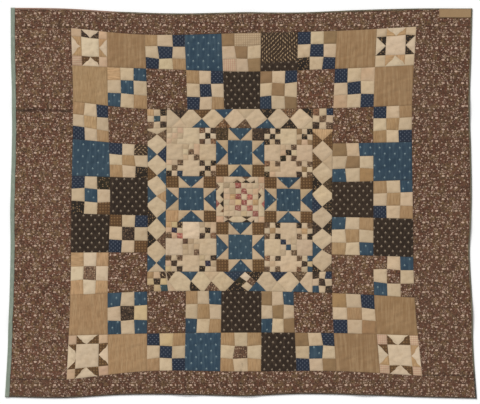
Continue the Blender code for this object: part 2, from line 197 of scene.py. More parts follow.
# Where the borders' meshes are finer, for their creases: in blocks from the left or top
CREASED_STRETCHES = {"side": ((2.0, 2.4),), "end": ((2.94, 3.12), (4.4, 4.82), (6.04, 6.2))}

# Mesh lines along a border, to a block and to a block's length of a crease, and lines
# across the side borders, the end borders and their corners
BLOCK_STATIONS = 30
CREASE_STATIONS = 150
SIDE_LINES = 44
END_LINES = 13
CORNER_LINES = 40

# The tan strip at the top right-hand corner
STRIP_LEFT = 991.0
STRIP_RIGHT = 1150.0
STRIP_BELOW_TOP = 47.0
STRIP_MARGIN = 3.0
STRIP_CLOTH = 1.0

# The letters of the charts: for each cloth, how each lettered cut of it differs in colour
CLOTH_TINTS = {
    "cream_muslin": {
        "c": (1.0, 1.0, 1.0), "C": (0.95, 0.93, 0.92), "W": (1.15, 1.19, 1.29), "y": (1.0, 0.96, 0.78),
        "p": (0.98, 0.86, 0.84), "w": (0.80, 0.76, 0.72), "T": (0.87, 0.81, 0.75), "Q": (1.0, 0.80, 0.74),
    },
    "checked_cream": {"z": (1.0, 1.0, 1.0)},
    "pink_stripe": {"s": (1.01, 1.03, 0.99)},
    "khaki_cotton": {"k": (1.0, 1.0, 1.0), "g": (1.28, 1.27, 1.15), "r": (1.25, 1.19, 1.19)},
    "striped_tan": {
        "t": (1.0, 1.0, 1.0), "x": (0.76, 0.72, 0.70), "q": (1.35, 1.35, 1.38), "P": (1.43, 1.45, 1.53),
        "X": (1.60, 1.70, 1.85),
    },
    "dotted_navy": {"n": (0.70, 0.85, 1.02), "B": (0.95, 1.30, 1.35), "v": (1.5, 0.75, 0.85)},
    "sprigged_blue": {"b": (1.0, 1.0, 1.0), "j": (1.6, 1.2, 0.80)},
    "sprigged_brown": {"d": (0.95, 0.92, 0.88)},
    "black_print": {"D": (1.0, 1.0, 1.0), "K": (0.8, 0.85, 0.9), "G": (1.15, 1.32, 0.95)},
    "leafy_black": {"l": (1.0, 1.0, 1.0)},
    "brown_calico": {"f": (0.92, 0.92, 0.88)},
    "brown_plaid": {"a": (1.0, 1.0, 1.0)},
    "umber_print": {"m": (1.0, 1.0, 1.0), "o": (1.35, 1.35, 0.95)},
    "brown_leaf": {
        "M": (0.75, 0.72, 0.72), "e": (0.93, 0.95, 0.90), "F": (0.80, 0.74, 0.74), "u": (1.15, 1.0, 0.80),
        "i": (1.45, 1.28, 1.2), "h": (1.12, 1.12, 1.15),
    },
    "red_check": {"R": (1.0, 1.0, 1.0), "S": (1.6, 1.7, 1.6)},
}
CLOTHS = {
    letter: (material, tint) for material, tints in CLOTH_TINTS.items() for letter, tint in tints.items()
}

# The letters whose cloth is always cut the same way round
CUT_ONE_WAY = "txfdbqk"

# The ring, row by row: one letter is a plain block, three threes of letters are a
# nine-patch, and two letters with a bar between them a block with a strip at its foot
RING_ROWS = (
    ("star_nw", "x", "tcn cnc nct", "b", "kzz ckc sCk", "l-d", "nck cnc Kcn", "x", "star_ne"),
    ("t", "Pcb cbc bct", "f", "tcn cnc nct", "d", "kcn ckc Bck", "f", "ncp cnc pcn", "x"),
    ("tcn cPc nct", "f", "", "", "", "", "", "f", "nct ctc tcn"),
    ("b", "ncl ctc tcD", "", "", "", "", "", "kCb Ckc bCg", "b"),
    ("ncG cbc Kca", "d", "", "", "", "", "", "d", "tcb ctc nct"),
    ("d", "acn cmc nca", "", "", "", "", "", "bct ctc tcb", "d"),
    ("PWP WhW PWP", "f", "", "", "", "", "", "f", "fcb cfc bcf"),
    ("t", "bcb cmy bcb", "f", "tcb ctc bct", "d", "kcb ckc bck", "f", "gcn ctc ncr", "x"),
    ("star_sw", "t", "nyt cnc tcn", "b", "tct cFc tct", "d", "kCn cbc nck", "x", "star_se"),
)
FOOT_STRIP_SHARE = 0.77

# Star blocks: corner squares nw ne sw se, then the eight star points clockwise from
# the left one of the top pair, the big triangles between them, and the centre square
Star = namedtuple("Star", "corners points big centre")
STARS = {
    "star_nw": Star("ppsp", "mmqqaaqq", "W", "W"),
    "star_ne": Star("cCCc", "PPDDPPDD", "W", "W"),
    "star_sw": Star("pppp", "aaaaaaaa", "W", "W"),
    "star_se": Star("ssss", "aaqqaaqa", "W", "W"),
    "star_north": Star("omaa", "TTTTTTTT", "b", "b"),
    "star_west": Star("aaqa", "TTTTTTTT", "b", "b"),
    "star_east": Star("aaaa", "TTTTTTTT", "b", "b"),
    "star_south": Star("aaaa", "TTTTTTTT", "b", "b"),
}
# The ring's stars are uneven: shares of their height and of their width at their seams
STAR_LINES = {
    "star_nw": ((0.0, 0.215, 0.47, 0.725, 1.0), (0.0, 0.28, 0.52, 0.77, 1.0)),
    "star_ne": ((0.0, 0.21, 0.46, 0.71, 1.0), (0.0, 0.25, 0.5, 0.75, 1.0)),
    "star_sw": ((0.0, 0.21, 0.49, 0.77, 1.0), (0.0, 0.20, 0.48, 0.765, 1.0)),
    "star_se": ((0.0, 0.25, 0.515, 0.78, 1.0), (0.0, 0.24, 0.515, 0.79, 1.0)),
}
STAR_PANEL = (
    ("double_nine_patch_nw", "star_north", "double_nine_patch_ne"),
    ("star_west", "centre_block", "star_east"),
    ("double_nine_patch_sw", "star_south", "double_nine_patch_se"),
)

# The tiny nine-patches of the double ones: nw, ne, centre, sw and se
DOUBLE_NINES = {
    "double_nine_patch_nw": ("wcp cpw pwc", "iWm WKW FWi", "Tcp cep Tce", "pwe cec KcB", "mcK cKp KTe"),
    "double_nine_patch_ne": ("mcK cKc KTm", "kcK TKc kpk", "TCe pKc GcM", "iTe cTT Gpc", "ece ckc mce"),
    "double_nine_patch_sw": ("Pyl pvc epS", "wTp cDp mci", "FTC TCT wCh", "ech pmc ycm", "Tcm CvT DcC"),
    "double_nine_patch_se": ("ecD ctc ecK", "Kce TPc ecK", "ncw cbc wce", "icm cTc ece", "ecb cmy icb"),
}

# The plain squares between them: top, left, right and foot
BIG_SQUARES = {
    "double_nine_patch_nw": "cCCc",
    "double_nine_patch_ne": "cCCc",
    "double_nine_patch_sw": "WWCc",
    "double_nine_patch_se": "cCCc",
}

# The frame's corner nine-patches
CORNER_NINES = {
    "frame_nine_patch_nw": "PcK cjc hcm",
    "frame_nine_patch_ne": "icn cec mcM",
    "frame_nine_patch_sw": "tpl ymy Fyj",
    "frame_nine_patch_se": "mcn cmc bcm",
}

# The frame's strips of squares on point. At each place two squares touch, with one
# triangle on the outer side of that place and one on the inner side
Touch = namedtuple("Touch", "place outer_first outer_last outer inner_first inner_last inner")
FRAME_STRIPS = {
    "diamond_strip_top": (
        Touch(-305, -354, -269, "m", -350, -266, "C"),
        Touch(-198, -246, -154, "a", -246, -151, "b"),
        Touch(-87, -139, -44, "b", -131, -44, "u"),
        Touch(20, -27, 68, "C", -29, 56, "e"),
        Touch(132, 90, 178, "D", 71, 176, "b"),
        Touch(245, 196, 291, "u", 196, 286, "D"),
        Touch(350, 300, 356, "D", 304, 356, "C"),
    ),
    "diamond_strip_foot": (
        Touch(-362, -362, -330, "C", -366, -321, "l"),
        Touch(-251, -262, -208, "D", -299, -208, "b"),
        Touch(-149, -190, -106, "F", -185, -100, "C"),
        Touch(-35, -84, 22, "D", -84, 24, "B"),
        Touch(70, 22, 111, "b", 24, 116, "D"),
        Touch(178, 130, 230, "C", 146, 236, "n"),
        Touch(295, 255, 341, "b", 251, 331, "e"),
    ),
    "diamond_strip_left": (
        Touch(344, 366, 311, "e", 366, 297, "e"),
        Touch(241, 288, 196, "b", 286, 196, "n"),
        Touch(131, 178, 96, "a", 176, 83, "b"),
        Touch(28, 76, -12, "b", 61, -4, "q"),
        Touch(-79, -29, -128, "D", -37, -128, "b"),
        Touch(-189, -144, -229, "K", -139, -234, "F"),
        Touch(-300, -259, -334, "b", -252, -343, "b"),
    ),
    "diamond_strip_right": (
        Touch(311, 361, 261, "a", 356, 266, "a"),
        Touch(206, 252, 160, "T", 256, 161, "a"),
        Touch(96, 138, 51, "o", 148, 48, "D"),
        Touch(-19, 21, -69, "D", 41, -54, "n"),
        Touch(-129, -83, -172, "D", -84, -164, "m"),
        Touch(-234, -199, -264, "F", -189, -279, "b"),
        Touch(-334, -302, -340, "e", -302, -340, "D"),
    ),
}

# Squares on point that aren't cream: the strip, and which of its squares
ODD_SQUARES = {("diamond_strip_right", 0): "X"}

# The square on point in the middle of the foot is a four-patch, charted with the
# triangles round it, outer row first
FOUR_PATCH = (
    ("D", "D/c", "c\\b", "b"),
    ("D/G", "G\\c", "c/F", "F\\b"),
    ("B\\G", "G/W", "W\\F", "F/D"),
    ("B", "B\\W", "W/D", "D"),
)

# The centre block: the size of its middle, of its corner squares and of half a tiny
# strip, how far a tiny triangle reaches along its strip, shares of the block's width and
# height where its parts meet, its squares, and the triangles of its tiny strips
CENTRE_SIZE = 172.0
CENTRE_CORNER_SIZE = 34.0
HALF_TINY_STRIP = 16.0
TINY_REACH = 0.13
CENTRE_COLUMNS = (0.0, 0.155, 0.875, 1.0)
CENTRE_ROWS = (0.0, 0.135, 0.870, 1.0)
CENTRE_SQUARES = ("wcRcCc", "cwcRcp", "pPRcSc", "cpyRcP", "CcRcSc", "cCcycR")
CENTRE_STRIPS = {
    "top": ((0.13, "c", "c"), (0.39, "c", "M"), (0.64, "M", "D"), (0.90, "c", "o")),
    "foot": ((0.13, "m", "e"), (0.39, "c", "c"), (0.66, "D", "o"), (0.88, "D", "c")),
    "left": ((0.12, "M", "c"), (0.37, "c", "D"), (0.62, "R", "D"), (0.88, "c", "u")),
    "right": ((0.14, "s", "s"), (0.37, "c", "m"), (0.62, "S", "c"), (0.88, "c", "c")),
}

# A patch as it was cut: its cloth, how far it is turned, where on the cloth it was cut
# and its tint
Cut = namedtuple("Cut", "material turn slip tint")
BACKING = Cut("backing_cotton", 0.0, (0.0, 0.0), (1.0, 1.0, 1.0))

chance = random.Random(1860)


def mix(a, b, share):
    """The value that lies a share of the way from a to b."""
    return a + (b - a) * share


def smooth(places, values, place):
    """A smooth curve through values that stand at rising places, level beyond its ends."""
    places = np.asarray(places, dtype=float)
    values = np.asarray(values, dtype=float)
    last = len(places) - 1
    before = np.maximum(np.arange(last + 1) - 1, 0)
    after = np.minimum(np.arange(last + 1) + 1, last)
    slopes = (values[after] - values[before]) / (places[after] - places[before])
    where = np.clip(np.asarray(place, dtype=float), places[0], places[-1])
    i = np.clip(np.searchsorted(places, where, side="right") - 1, 0, last - 1)
    span = places[i + 1] - places[i]
    t = (where - places[i]) / span
    start = values[i] * (1 + 2 * t) * (1 - t) ** 2 + slopes[i] * span * t * (1 - t) ** 2
    end = values[i + 1] * (3 - 2 * t) * t ** 2 - slopes[i + 1] * span * t ** 2 * (1 - t)
    return start + end


def pick(lines, which):
    """From a stack of lines, the value of the chosen line at each place."""
    return np.take_along_axis(lines, which[None], axis=0)[0]


def between_seams(u, v, uprights, levels):
    """Plan point among crossing seams, counted from the left one and from the top one."""
    column = np.clip(u.astype(int), 0, len(uprights) - 2)
    row = np.clip(v.astype(int), 0, len(levels) - 2)
    x = mix(pick(uprights, column), pick(uprights, column + 1), u - column)
    y = mix(pick(levels, row), pick(levels, row + 1), v - row)
    return x, y


def seam_point(u, v):
    """Plan point of the ring, u blocks from its left side and v blocks from its top."""
    u, v = np.broadcast_arrays(np.asarray(u, dtype=float), np.asarray(v, dtype=float))
    uprights = np.stack([smooth(STATIONS, seam, v) for seam in UPRIGHT_SEAMS])
    levels = np.stack([smooth(STATIONS, seam, u) for seam in LEVEL_SEAMS])
    return between_seams(u, v, uprights, levels)


def star_point(p, q):
    """Plan point of the star panel, p blocks from its left side and q from its top."""
    p, q = np.broadcast_arrays(np.asarray(p, dtype=float), np.asarray(q, dtype=float))
    uprights = np.stack([mix(top, foot, q / STAR_BLOCKS) for top, foot in STAR_UPRIGHTS])
    levels = np.stack([mix(left, right, p / STAR_BLOCKS) for left, right in STAR_LEVELS])
    return between_seams(p, q, uprights, levels)


def left_edge(y):
    """X of the quilt's left-hand side at a Y."""
    return smooth([s.y for s in SIDE_STATIONS], [s.left for s in SIDE_STATIONS], y)


def right_edge(y):
    """X of the quilt's right-hand side at a Y."""
    return smooth([s.y for s in SIDE_STATIONS], [s.right for s in SIDE_STATIONS], y)


def top_edge(x):
    """Y of the quilt's top at an X."""
    return smooth([s.x for s in END_STATIONS], [s.top for s in END_STATIONS], x)


def foot_edge(x):
    """Y of the quilt's foot at an X."""
    return smooth([s.x for s in END_STATIONS], [s.foot for s in END_STATIONS], x)


def ripple_lift(x, y):
    """How far the quilt is off the floor at plan points."""
    lift = np.zeros_like(x)
    inwards_from = {
        "left": x - left_edge(y),
        "right": right_edge(y) - x,
        "top": top_edge(x) - y,
        "foot": y - foot_edge(x),
    }
    for ripple in RIPPLES:
        inwards = inwards_from[ripple.edge]
        along = y if ripple.edge in ("left", "right") else x
        aside = along - ripple.place - ripple.slant * inwards
        reached = (inwards < ripple.reach) & (np.abs(aside) < ripple.width / 2)
        fading = np.cos(math.pi / 2 * np.maximum(inwards, 0) / ripple.reach) ** 2
        rise = ripple.height * fading * np.cos(math.pi * aside / ripple.width) ** 2
        lift += np.where(reached, rise, 0.0)
    return lift


def wave_table(count, shortest, longest, height):
    """Slow waves across the cloth: direction, length, place and height of each."""
    waves = []
    for i in range(count):
        length = shortest * (longest / shortest) ** (i / (count - 1))
        heading = chance.uniform(0, math.pi)
        waves.append((heading, length, chance.uniform(0, 2 * math.pi), height * (length / longest) ** 0.5))
    return waves


BROAD_WAVES = wave_table(7, 90, 420, 0.34)
SMALL_WAVES = wave_table(9, 16, 55, 0.20)


def unevenness(x, y, waves):
    """The height of a table of waves at plan points."""
    height = np.zeros_like(x)
    for heading, length, place, tall in waves:
        along = x * math.cos(heading) + y * math.sin(heading)
        height += tall * np.sin(2 * math.pi * along / length + place)
    return height


def distance_to_line(x, y, x1, y1, x2, y2):
    """Distance of plan points from a straight line between two ends."""
    dx = x2 - x1
    dy = y2 - y1
    share = np.clip(((x - x1) * dx + (y - y1) * dy) / (dx * dx + dy * dy), 0, 1)
    return np.hypot(x - x1 - share * dx, y - y1 - share * dy)


def crease_drop(x, y):
    """How far the pressed-in folds lower the cloth, and how strongly they darken it with painted shade."""
    drop = np.zeros_like(x)
    mark = np.zeros_like(x)
    wander = CREASE_STRAY * np.sin((x + y) / STRAY_LENGTH)
    for crease in CREASES:
        away = distance_to_line(x + wander, y + wander, crease.x1, crease.y1, crease.x2, crease.y2)
        nearness = np.exp(-((away / crease.width) ** 2))
        drop += crease.depth * nearness
        mark = np.maximum(mark, nearness * crease.depth / FULL_SHADE_DEPTH)
    return drop, mark


def graded(size):
    """Shares of a patch's width where its mesh lines lie, close together at its seams."""
    half = [0.0]
    step = FIRST_STEP
    while half[-1] + 1.4 * step < size / 2:
        half.append(half[-1] + step)
        step = min(step * STEP_GROWTH, LARGEST_STEP)
    shares = [place / size for place in half]
    return shares + [0.5] + [1 - share for share in reversed(shares)]


def fine_lines(sizes):
    """For each mesh line across a row of patches: which patch it is in, and how far along."""
    which = []
    along = []
    starts = [0]
    for i, size in enumerate(sizes):
        shares = graded(size)
        which += [i] * (len(shares) - 1)
        along += shares[:-1]
        starts.append(len(along))
    which.append(len(sizes) - 1)
    along.append(1.0)
    return np.array(which), np.array(along), starts


def random_cut(letter):
    """One patch cut from the cloth of a letter: askew, anywhere, a little faded or not."""
    material, tint = CLOTHS[letter]
    turn = chance.gauss(0, 0.03)
    if letter not in CUT_ONE_WAY:
        turn += math.pi / 2 * chance.randrange(2)
    fading = chance.gauss(1, 0.05)
    tint = tuple(part * fading * chance.gauss(1, 0.012) for part in tint)
    slip = (chance.uniform(0, 1), chance.uniform(0, 1))
    return Cut(material, turn, slip, tint)


class Sheet:
    """A closed sheet of cloth while it is being made, in millimetres."""

    def __init__(self):
        self.points = np.zeros((0, 3))
        self.weave = np.zeros((0, 2))
        # How dark each vertex is painted: soil and painted shade along seams, painted shade in creases
        self.marks = np.zeros(0)
        self.faces = []
        self.face_cuts = []
        self.smooth = []
        self.cuts = [BACKING]

    def add_points(self, x, y, z, marks, weave=None):
        """Add vertices, and say which they are in the sheet, in the shape of x."""
        first = len(self.points)
        added = np.stack([np.ravel(x), np.ravel(y), np.ravel(z)], axis=1)
        self.points = np.concatenate([self.points, added])
        self.weave = np.concatenate([self.weave, added[:, :2] if weave is None else weave])
        self.marks = np.concatenate([self.marks, np.ravel(marks)])
        return np.arange(first, len(self.points)).reshape(np.shape(x))

    def add_faces(self, faces, cut, smooth=True):
        """Add faces that are cut from one patch."""
        faces = faces.tolist() if isinstance(faces, np.ndarray) else faces
        self.faces += faces
        self.face_cuts += [cut] * len(faces)
        self.smooth += [smooth] * len(faces)

    def turn_over(self):
        """Turn every face to look the other way."""
        self.faces = [face[::-1] for face in self.faces]


def rim_of(index):
    """The outer vertices of a grid, in order round it."""
    return np.concatenate([index[0, :-1], index[:-1, -1], index[-1, :0:-1], index[:0:-1, 0]])


def quads_of(index):
    """Four-sided faces over a grid of vertices, seen from above anticlockwise."""
    return np.stack([index[:-1, :-1], index[1:, :-1], index[1:, 1:], index[:-1, 1:]], axis=-1)


def close_sheet(sheet, index, low=None):
    """Add the edge and the underside below a grid of tops."""
    x = sheet.points[index, 0]
    y = sheet.points[index, 1]
    rim = rim_of(index)
    if low is None:
        ring = sheet.points[rim]
        low_rim = sheet.add_points(ring[:, 0], ring[:, 1], np.zeros(len(ring)), np.zeros(len(ring)))
        sheet.add_faces([low_rim.tolist()], 0, smooth=False)
    else:
        below = sheet.add_points(x, y, low, np.zeros(low.size))
        sheet.add_faces(quads_of(below)[:, :, ::-1].reshape(-1, 4), 0, smooth=False)
        low_rim = rim_of(below)
    walls = np.stack([rim, np.roll(rim, -1), np.roll(low_rim, -1), low_rim], axis=1)
    sheet.add_faces(walls, 0, smooth=False)


def letters_of(token):
    """The two letters of a charted square, the same one twice where it isn't cut."""
    for stroke in "/\\":
        if stroke in token:
            first, second = token.split(stroke)
            return first, second, stroke
    return token, token, ""


# Which half of a cut square lies along its top, left, foot and right side
SIDES_OF_HALVES = {"": (0, 0, 0, 0), "/": (0, 0, 1, 1), "\\": (1, 0, 0, 1)}


def find_patches(chart, sewn_columns, sewn_rows):
    """Number the patches of a chart and list its seams by the squares' corners.

    Neighbours with the same letter are one patch, unless a block's side lies between.
    """
    rows = len(chart)
    columns = len(chart[0])
    halves = {}
    for r in range(rows):
        for c in range(columns):
            first, second, stroke = letters_of(chart[r][c])
            halves[r, c, 0] = (first, (r, c, 0))
            halves[r, c, 1] = (second, (r, c, 1))

    def root(key):
        while halves[key][1] != key:
            key = halves[key][1]
        return key

    def join(a, b):
        halves[root(a)] = (halves[a][0], root(b))

    seams = []
    for r in range(rows):
        for c in range(columns):
            first, second, stroke = letters_of(chart[r][c])
            foot, right = SIDES_OF_HALVES[stroke][2:]
            if first == second:
                join((r, c, 0), (r, c, 1))
            elif stroke == "/":
                seams.append((r + 1, c, r, c + 1))
            else:
                seams.append((r, c, r + 1, c + 1))
            if c + 1 < columns:
                mine = (r, c, right)
                theirs = (r, c + 1, SIDES_OF_HALVES[letters_of(chart[r][c + 1])[2]][1])
                if c + 1 not in sewn_columns and halves[mine][0] == halves[theirs][0]:
                    join(mine, theirs)
                else:
                    seams.append((r, c + 1, r + 1, c + 1))
            if r + 1 < rows:
                mine = (r, c, foot)
                theirs = (r + 1, c, SIDES_OF_HALVES[letters_of(chart[r + 1][c])[2]][0])
                if r + 1 not in sewn_rows and halves[mine][0] == halves[theirs][0]:
                    join(mine, theirs)
                else:
                    seams.append((r + 1, c, r + 1, c + 1))
    for c in range(columns):
        seams.append((0, c, 0, c + 1))
        seams.append((rows, c, rows, c + 1))
    for r in range(rows):
        seams.append((r, 0, r + 1, 0))
        seams.append((r, columns, r + 1, columns))
    patches = {key: root(key) for key in halves}
    return patches, seams


def pieced_sheet(nodes, chart, place, widths, heights, crown, sewn_columns=(), sewn_rows=()):
    """A puffed sheet of patches sewn from a chart.

    nodes holds the squares' corners in the piece's own measure, place turns that into
    plan points, widths and heights are the squares' rough sizes and crown is how far
    the sheet stands up at a plan point when no seam holds it down.
    """
    row_of, down, row_starts = fine_lines(heights)
    column_of, across, column_starts = fine_lines(widths)
    r = row_of[:, None]
    c = column_of[None, :]
    down = down[:, None, None]
    across = across[None, :, None]
    upper = mix(nodes[r, c], nodes[r, c + 1], across)
    lower = mix(nodes[r + 1, c], nodes[r + 1, c + 1], across)
    own = mix(upper, lower, down)
    x, y = place(own[..., 0], own[..., 1])
    node_x, node_y = place(nodes[..., 0], nodes[..., 1])
    patches, seams = find_patches(chart, sewn_columns, sewn_rows)
    away = np.full(x.shape, 1e6)
    for r1, c1, r2, c2 in seams:
        ends = (node_x[r1, c1], node_y[r1, c1], node_x[r2, c2], node_y[r2, c2])
        away = np.minimum(away, distance_to_line(x, y, *ends))
    drop, crease_shade = crease_drop(x, y)
    rise = 1 - np.exp(-away / PUFF_REACH)
    height = SEAM_THICKNESS - SEAM_DIP * np.exp(-away / DIP_REACH)
    height = height + PUFF * crown(own[..., 0], own[..., 1]) * rise
    height = height + unevenness(x, y, BROAD_WAVES) + unevenness(x, y, SMALL_WAVES) * (0.5 + rise)
    height = height + ripple_lift(x, y) - drop
    # Darkening by soil and painted shade along the seams' dips, and painted shade along the creases
    marks = np.maximum(np.exp(-away / SOIL_AND_SHADE_REACH), crease_shade)

    sheet = Sheet()
    index = sheet.add_points(x, y, height, marks)
    corner = index[0, 0], index[1, 0], index[0, 1]
    edge_down = sheet.points[corner[1]] - sheet.points[corner[0]]
    edge_across = sheet.points[corner[2]] - sheet.points[corner[0]]
    mirrored = edge_down[0] * edge_across[1] - edge_down[1] * edge_across[0] < 0
    cut_of = {}
    for key in sorted(patches):
        if patches[key] not in cut_of:
            letters = letters_of(chart[key[0]][key[1]])
            cut_of[patches[key]] = len(sheet.cuts)
            sheet.cuts.append(random_cut(letters[key[2]]))
    for r in range(len(chart)):
        for c in range(len(chart[0])):
            block = index[row_starts[r]:row_starts[r + 1] + 1, column_starts[c]:column_starts[c + 1] + 1]
            quads = quads_of(block)
            stroke = letters_of(chart[r][c])[2]
            cuts = [cut_of[patches[r, c, half]] for half in (0, 1)]
            if not stroke:
                sheet.add_faces(quads.reshape(-1, 4), cuts[0])
                continue
            a = np.arange(quads.shape[0])[:, None]
            b = np.arange(quads.shape[1])[None, :]
            side = a + b - (len(a) - 1) if stroke == "/" else b - a
            sheet.add_faces(quads[side < 0], cuts[0])
            sheet.add_faces(quads[side > 0], cuts[1])
            seam_quads = quads[side == 0]
            if stroke == "/":
                sheet.add_faces(seam_quads[:, [0, 1, 3]], cuts[0])
                sheet.add_faces(seam_quads[:, [1, 2, 3]], cuts[1])
            else:
                sheet.add_faces(seam_quads[:, [0, 1, 2]], cuts[0])
                sheet.add_faces(seam_quads[:, [0, 2, 3]], cuts[1])
    close_sheet(sheet, index)
    if mirrored:
        sheet.turn_over()
    return sheet


def sew(node, sheets, flat=None, area=None):
    """Make a piece of its sheets, in place of its node, and give it the materials of its cloths."""
    points = np.concatenate([sheet.points for sheet in sheets])
    materials = list(dict.fromkeys(cut.material for sheet in sheets for cut in sheet.cuts))
    faces = []
    face_rows = []
    first = 0
    for sheet in sheets:
        faces += [[first + i for i in face] for face in sheet.faces]
        first += len(sheet.points)
        cut_rows = [(materials.index(cut.material), cut.turn, *cut.slip, *cut.tint) for cut in sheet.cuts]
        face_rows.append(np.array(cut_rows)[sheet.face_cuts])
    face_rows = np.concatenate(face_rows)
    mesh = bpy.data.meshes.new(node + "_cloth")
    mesh.from_pydata((points * MM).tolist(), [], faces)
    corner_counts = np.array([len(face) for face in faces])
    corner_points = np.concatenate([np.asarray(face) for face in faces])
    weave = np.concatenate([sheet.weave for sheet in sheets])[corner_points] * MM
    corner_rows = np.repeat(face_rows, corner_counts, axis=0)
    turn = corner_rows[:, 1]
    slip = corner_rows[:, 2:4]
    tint = corner_rows[:, 4:]
    threads = np.stack([
        weave[:, 0] * np.cos(turn) - weave[:, 1] * np.sin(turn) + slip[:, 0],
        weave[:, 0] * np.sin(turn) + weave[:, 1] * np.cos(turn) + slip[:, 1],
    ], axis=1)
    cloth_map = mesh.uv_layers.new(name="cloth")
    cloth_map.data.foreach_set("uv", threads.ravel())
    dye = mesh.color_attributes.new("dye", "FLOAT_COLOR", "CORNER")
    dye.data.foreach_set("color", np.concatenate([tint, np.ones((len(tint), 1))], axis=1).ravel())
    # Each vertex's darkening: soil and painted shade along seams, painted shade in creases
    seam = mesh.attributes.new("seam", "FLOAT", "POINT")
    seam.data.foreach_set("value", np.concatenate([sheet.marks for sheet in sheets]))
    mesh.polygons.foreach_set("material_index", face_rows[:, 0].astype(int))
    mesh.polygons.foreach_set("use_smooth", np.concatenate([sheet.smooth for sheet in sheets]))
    for name in materials:
        mesh.materials.append(MATERIALS[name])
    mesh.update()
    piece = bpy.data.objects.new(node + "_cloth", mesh)
    bpy.context.scene.collection.objects.link(piece)
    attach(piece, "root")
    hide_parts(node)
    if flat is None:
        flat, area = flat_size(sheets)


def area_inside(x, y):
    """The area inside a closed outline, in square metres."""
    return abs(np.sum(x * np.roll(y, -1) - y * np.roll(x, -1))) / 2 * MM * MM


def flat_size(sheets):
    """Width, length and area of the cloth in sheets that lie flat, in metres."""
    points = np.concatenate([sheet.points for sheet in sheets])
    width, length = np.ptp(points[:, :2], axis=0) * MM
    area = 0.0
    for sheet in sheets:
        bottoms = [face for face, cut in zip(sheet.faces, sheet.face_cuts) if cut == 0 and len(face) > 4]
        rim = np.array(bottoms[0])
        area += area_inside(sheet.points[rim, 0], sheet.points[rim, 1])
    return (width, length), min(area, width * length)


def star_chart(star):
    """The sixteen squares of a star block."""
    nw, ne, sw, se = star.corners
    top_left, top_right, right_up, right_low, foot_right, foot_left, left_low, left_up = star.points
    big = star.big
    centre = star.centre
    return [
        [nw, f"{top_left}\\{big}", f"{big}/{top_right}", ne],
        [f"{big}\\{left_up}", centre, centre, f"{right_up}/{big}"],
        [f"{big}/{left_low}", centre, centre, f"{right_low}\\{big}"],
        [sw, f"{foot_left}/{big}", f"{big}\\{foot_right}", se],
    ]


def block_chart(block):
    """The chart of one block of the ring, its row lines and its column lines."""
    if block in STARS:
        return star_chart(STARS[block]), *STAR_LINES[block]
    if "-" in block:
        return [[letter] for letter in block.split("-")], (0.0, FOOT_STRIP_SHARE, 1.0), (0.0, 1.0)
    thirds = (0.0, 1 / 3, 2 / 3, 1.0)
    if len(block) == 1:
        return [[block]] * 3, thirds, (0.0, 1.0)
    return [list(letters) for letters in block.split()], thirds, thirds


def shaken(nodes, fixed_columns, amount):
    """Move seam crossings a little, but not off the sides of blocks."""
    rows, columns = nodes.shape[:2]
    moved = nodes.copy()
    for r in range(rows):
        for c in range(columns):
            if c not in fixed_columns:
                moved[r, c, 0] += chance.gauss(0, amount)
            if r not in (0, rows - 1):
                moved[r, c, 1] += chance.gauss(0, amount)
    return moved


def block_crown(u, v):
    """A block's low dome between its own seams."""
    along = u - np.floor(u)
    down = v - np.floor(v)
    dome = (1 - (2 * along - 1) ** 4) * (1 - (2 * down - 1) ** 4)
    return 0.62 + 0.38 * dome


def ring_run(row, first, blocks):
    """One sheet for a run of the ring's blocks whose row lines agree."""
    chart = None
    columns = [float(first)]
    widths = []
    for k, block in enumerate(blocks):
        squares, row_lines, column_lines = block_chart(block)
        chart = squares if chart is None else [a + b for a, b in zip(chart, squares)]
        for start, end in zip(column_lines, column_lines[1:]):
            widths.append(BLOCK_SIZE * (end - start))
            columns.append(first + k + end)
    heights = [BLOCK_SIZE * (b - a) for a, b in zip(row_lines, row_lines[1:])]
    u, v = np.meshgrid(columns, np.array(row_lines))
    sides = [i for i, column in enumerate(columns) if abs(column - round(column)) < 1e-9]
    amount = 0.006 if blocks[0] in STARS else 0.014
    nodes = shaken(np.stack([u, v], axis=-1), sides, amount)

    def place(u, v):
        return seam_point(u, row + np.clip(v, 0, 1))

    return pieced_sheet(nodes, chart, place, widths, heights, block_crown, sewn_columns=sides)


def make_block_row(name, row, first, last):
    """One row of the ring's blocks, sewn side by side."""
    runs = []
    for k in range(first, last):
        block = RING_ROWS[row][k]
        lines = block_chart(block)[1]
        alone = block in STARS or "-" in block
        if runs and not alone and runs[-1][2] == lines:
            runs[-1][1].append(block)
        else:
            runs.append([k, [block], lines])
    sew(name, [ring_run(row, start, blocks) for start, blocks, lines in runs])


def make_ring():
    """The ring: full rows above and below the medallion, pairs at its sides."""
    for row in range(BLOCKS):
        if row < RING or row >= BLOCKS - RING:
            make_block_row(f"block_row_{row + 1}", row, 0, BLOCKS)
        else:
            make_block_row(f"block_pair_left_{row + 1}", row, 0, RING)
            make_block_row(f"block_pair_right_{row + 1}", row, BLOCKS - RING, BLOCKS)


def patch_crown(u, v):
    """Squares of a small block puff evenly."""
    return np.full_like(u, PATCH_CROWN)


def square_sheet(chart, columns, rows, place, size, amount=0.0):
    """A sheet over the part of a block between its column lines and row lines."""
    u, v = np.meshgrid(columns, rows)
    nodes = np.stack([u, v], axis=-1).astype(float)
    if amount:
        nodes = shaken(nodes, (0, len(columns) - 1), amount)
    widths = [size * (b - a) for a, b in zip(columns, columns[1:])]
    heights = [size * (b - a) for a, b in zip(rows, rows[1:])]
    return pieced_sheet(nodes, chart, place, widths, heights, patch_crown)


def double_nine_chart(name):
    """The eighty-one squares of a double nine-patch."""
    nw, ne, centre, sw, se = (nine.split() for nine in DOUBLE_NINES[name])
    top, left, right, foot = BIG_SQUARES[name]
    rows = [list(a + 3 * top + b) for a, b in zip(nw, ne)]
    rows += [list(3 * left + a + 3 * right) for a in centre]
    rows += [list(a + 3 * foot + b) for a, b in zip(sw, se)]
    return rows


def kept_inside(place, first, last):
    """A place along a strip, kept a little way from its two ends."""
    return min(max(place, min(first, last) + 1.5), max(first, last) - 1.5)


